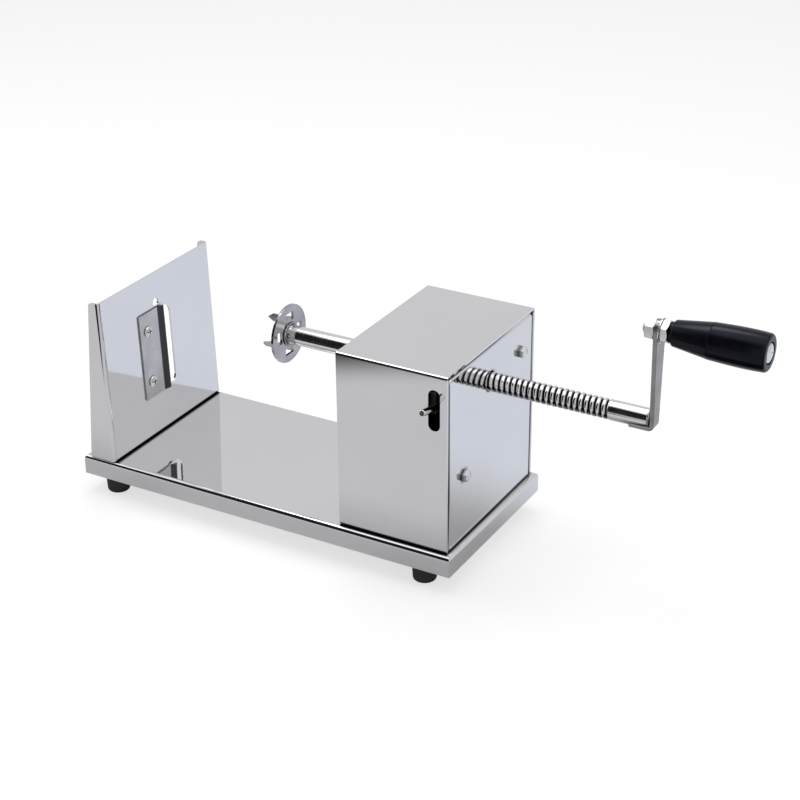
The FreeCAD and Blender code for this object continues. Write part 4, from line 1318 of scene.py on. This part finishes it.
def floor_glow(tree, place, path):
    """Where the floor is behind the object, and how strongly it glows for the camera and the rest. For the
    rest, painted shadow dims it just in front of the object and painted light brightens it behind.
    """
    near = 0.12
    front = 0.26
    rear = 0.46
    for_camera = 0.65
    behind = step_between(tree, along(tree, place, (0.0, 1.0, 0.0)), 0.01, 0.13)
    # painted shadow: for all but the camera the floor glows dimmer just in front of the object
    in_front = step_between(tree, along(tree, place, (0.0, -1.0, 0.0)), 0.09, 0.15)
    glow = value_between(tree, behind, value_between(tree, in_front, near, front), rear)
    return behind, value_between(tree, path.outputs["Is Camera Ray"], glow, for_camera)


def floor_cards(tree, place):
    """1 on the two painted dark reflections, as of cards, that polished metal sees on the floor: far front
    left, and right.
    """
    left_card = dark_card(tree, place, (0.33, 0.41), (-0.28, -0.20, 0.11, 0.17))
    right = step_between(tree, along(tree, place, (1.0, 0.0, 0.0)), 0.09, 0.12)
    strip = band_between(tree, along(tree, place, (0.0, 1.0, 0.0)), -0.16, -0.13, -0.01, 0.02)
    return math_node(tree, "MAXIMUM", left_card, both(tree, right, strip))


def floor_material():
    """A white floor that keeps the shadow. Polished metal sees painted light on it: bluish behind, dimmer
    in front, and painted dark reflections as of cards.
    """
    material, tree, shader = new_material("pale_floor")
    shader.inputs["Base Color"].default_value = (0.50, 0.50, 0.50, 1.0)
    shader.inputs["Roughness"].default_value = 1.0
    shader.inputs["Specular IOR Level"].default_value = 0.0
    path = tree.nodes.new("ShaderNodeLightPath")
    for_metal = path.outputs["Is Glossy Ray"]
    place = tree.nodes.new("ShaderNodeTexCoord").outputs["Object"]
    behind, glow = floor_glow(tree, place, path)
    # painted bluish light, seen by polished metal on the floor behind the object
    tint = colour_between(tree, both(tree, behind, for_metal), (1.0, 1.0, 1.0), BLUISH)
    tree.links.new(tint, shader.inputs["Emission Color"])
    tree.links.new(glow, shader.inputs["Emission Strength"])
    dark = tree.nodes.new("ShaderNodeEmission")
    dark.inputs["Strength"].default_value = DARK_CARD
    blend = tree.nodes.new("ShaderNodeMixShader")
    tree.links.new(both(tree, floor_cards(tree, place), for_metal), blend.inputs[0])
    tree.links.new(shader.outputs[0], blend.inputs[1])
    tree.links.new(dark.outputs[0], blend.inputs[2])
    tree.links.new(blend.outputs[0], tree.nodes["Material Output"].inputs["Surface"])
    return material


def add_floor():
    reach = 6.0
    corners = [(-reach, -reach, 0), (reach, -reach, 0), (reach, reach, 0), (-reach, reach, 0)]
    floor = flat_card("floor", corners)
    floor.data.materials.append(floor_material())


def add_world():
    """White for the camera, pale for polished metal apart from a painted dark reflection as of a card, and
    dimmer as a light.
    """
    world = bpy.data.worlds.new("studio")
    bpy.context.scene.world = world
    world.use_nodes = True
    tree = world.node_tree
    background = tree.nodes["Background"]
    background.inputs["Color"].default_value = (1.0, 1.0, 1.0, 1.0)
    way = tree.nodes.new("ShaderNodeTexCoord").outputs["Generated"]
    path = tree.nodes.new("ShaderNodeLightPath")
    as_light = 0.35
    card = dark_card(tree, way, (0.26, 0.36), (-0.30, -0.22, 0.30, 0.42))
    high = step_between(tree, along(tree, way, (0.0, 0.0, 1.0)), 0.76, 0.86)
    below = math_node(tree, "SUBTRACT", 1.0, high)
    for_metal = value_between(tree, both(tree, card, below), STUDIO_FOR_METAL, DARK_CARD)
    unseen = value_between(tree, path.outputs["Is Glossy Ray"], as_light, for_metal)
    strength = value_between(tree, path.outputs["Is Camera Ray"], unseen, 1.0)
    tree.links.new(strength, background.inputs["Strength"])


add_camera()
add_lights()
add_floor()
add_world()
bpy.context.scene.view_settings.view_transform = "Standard"
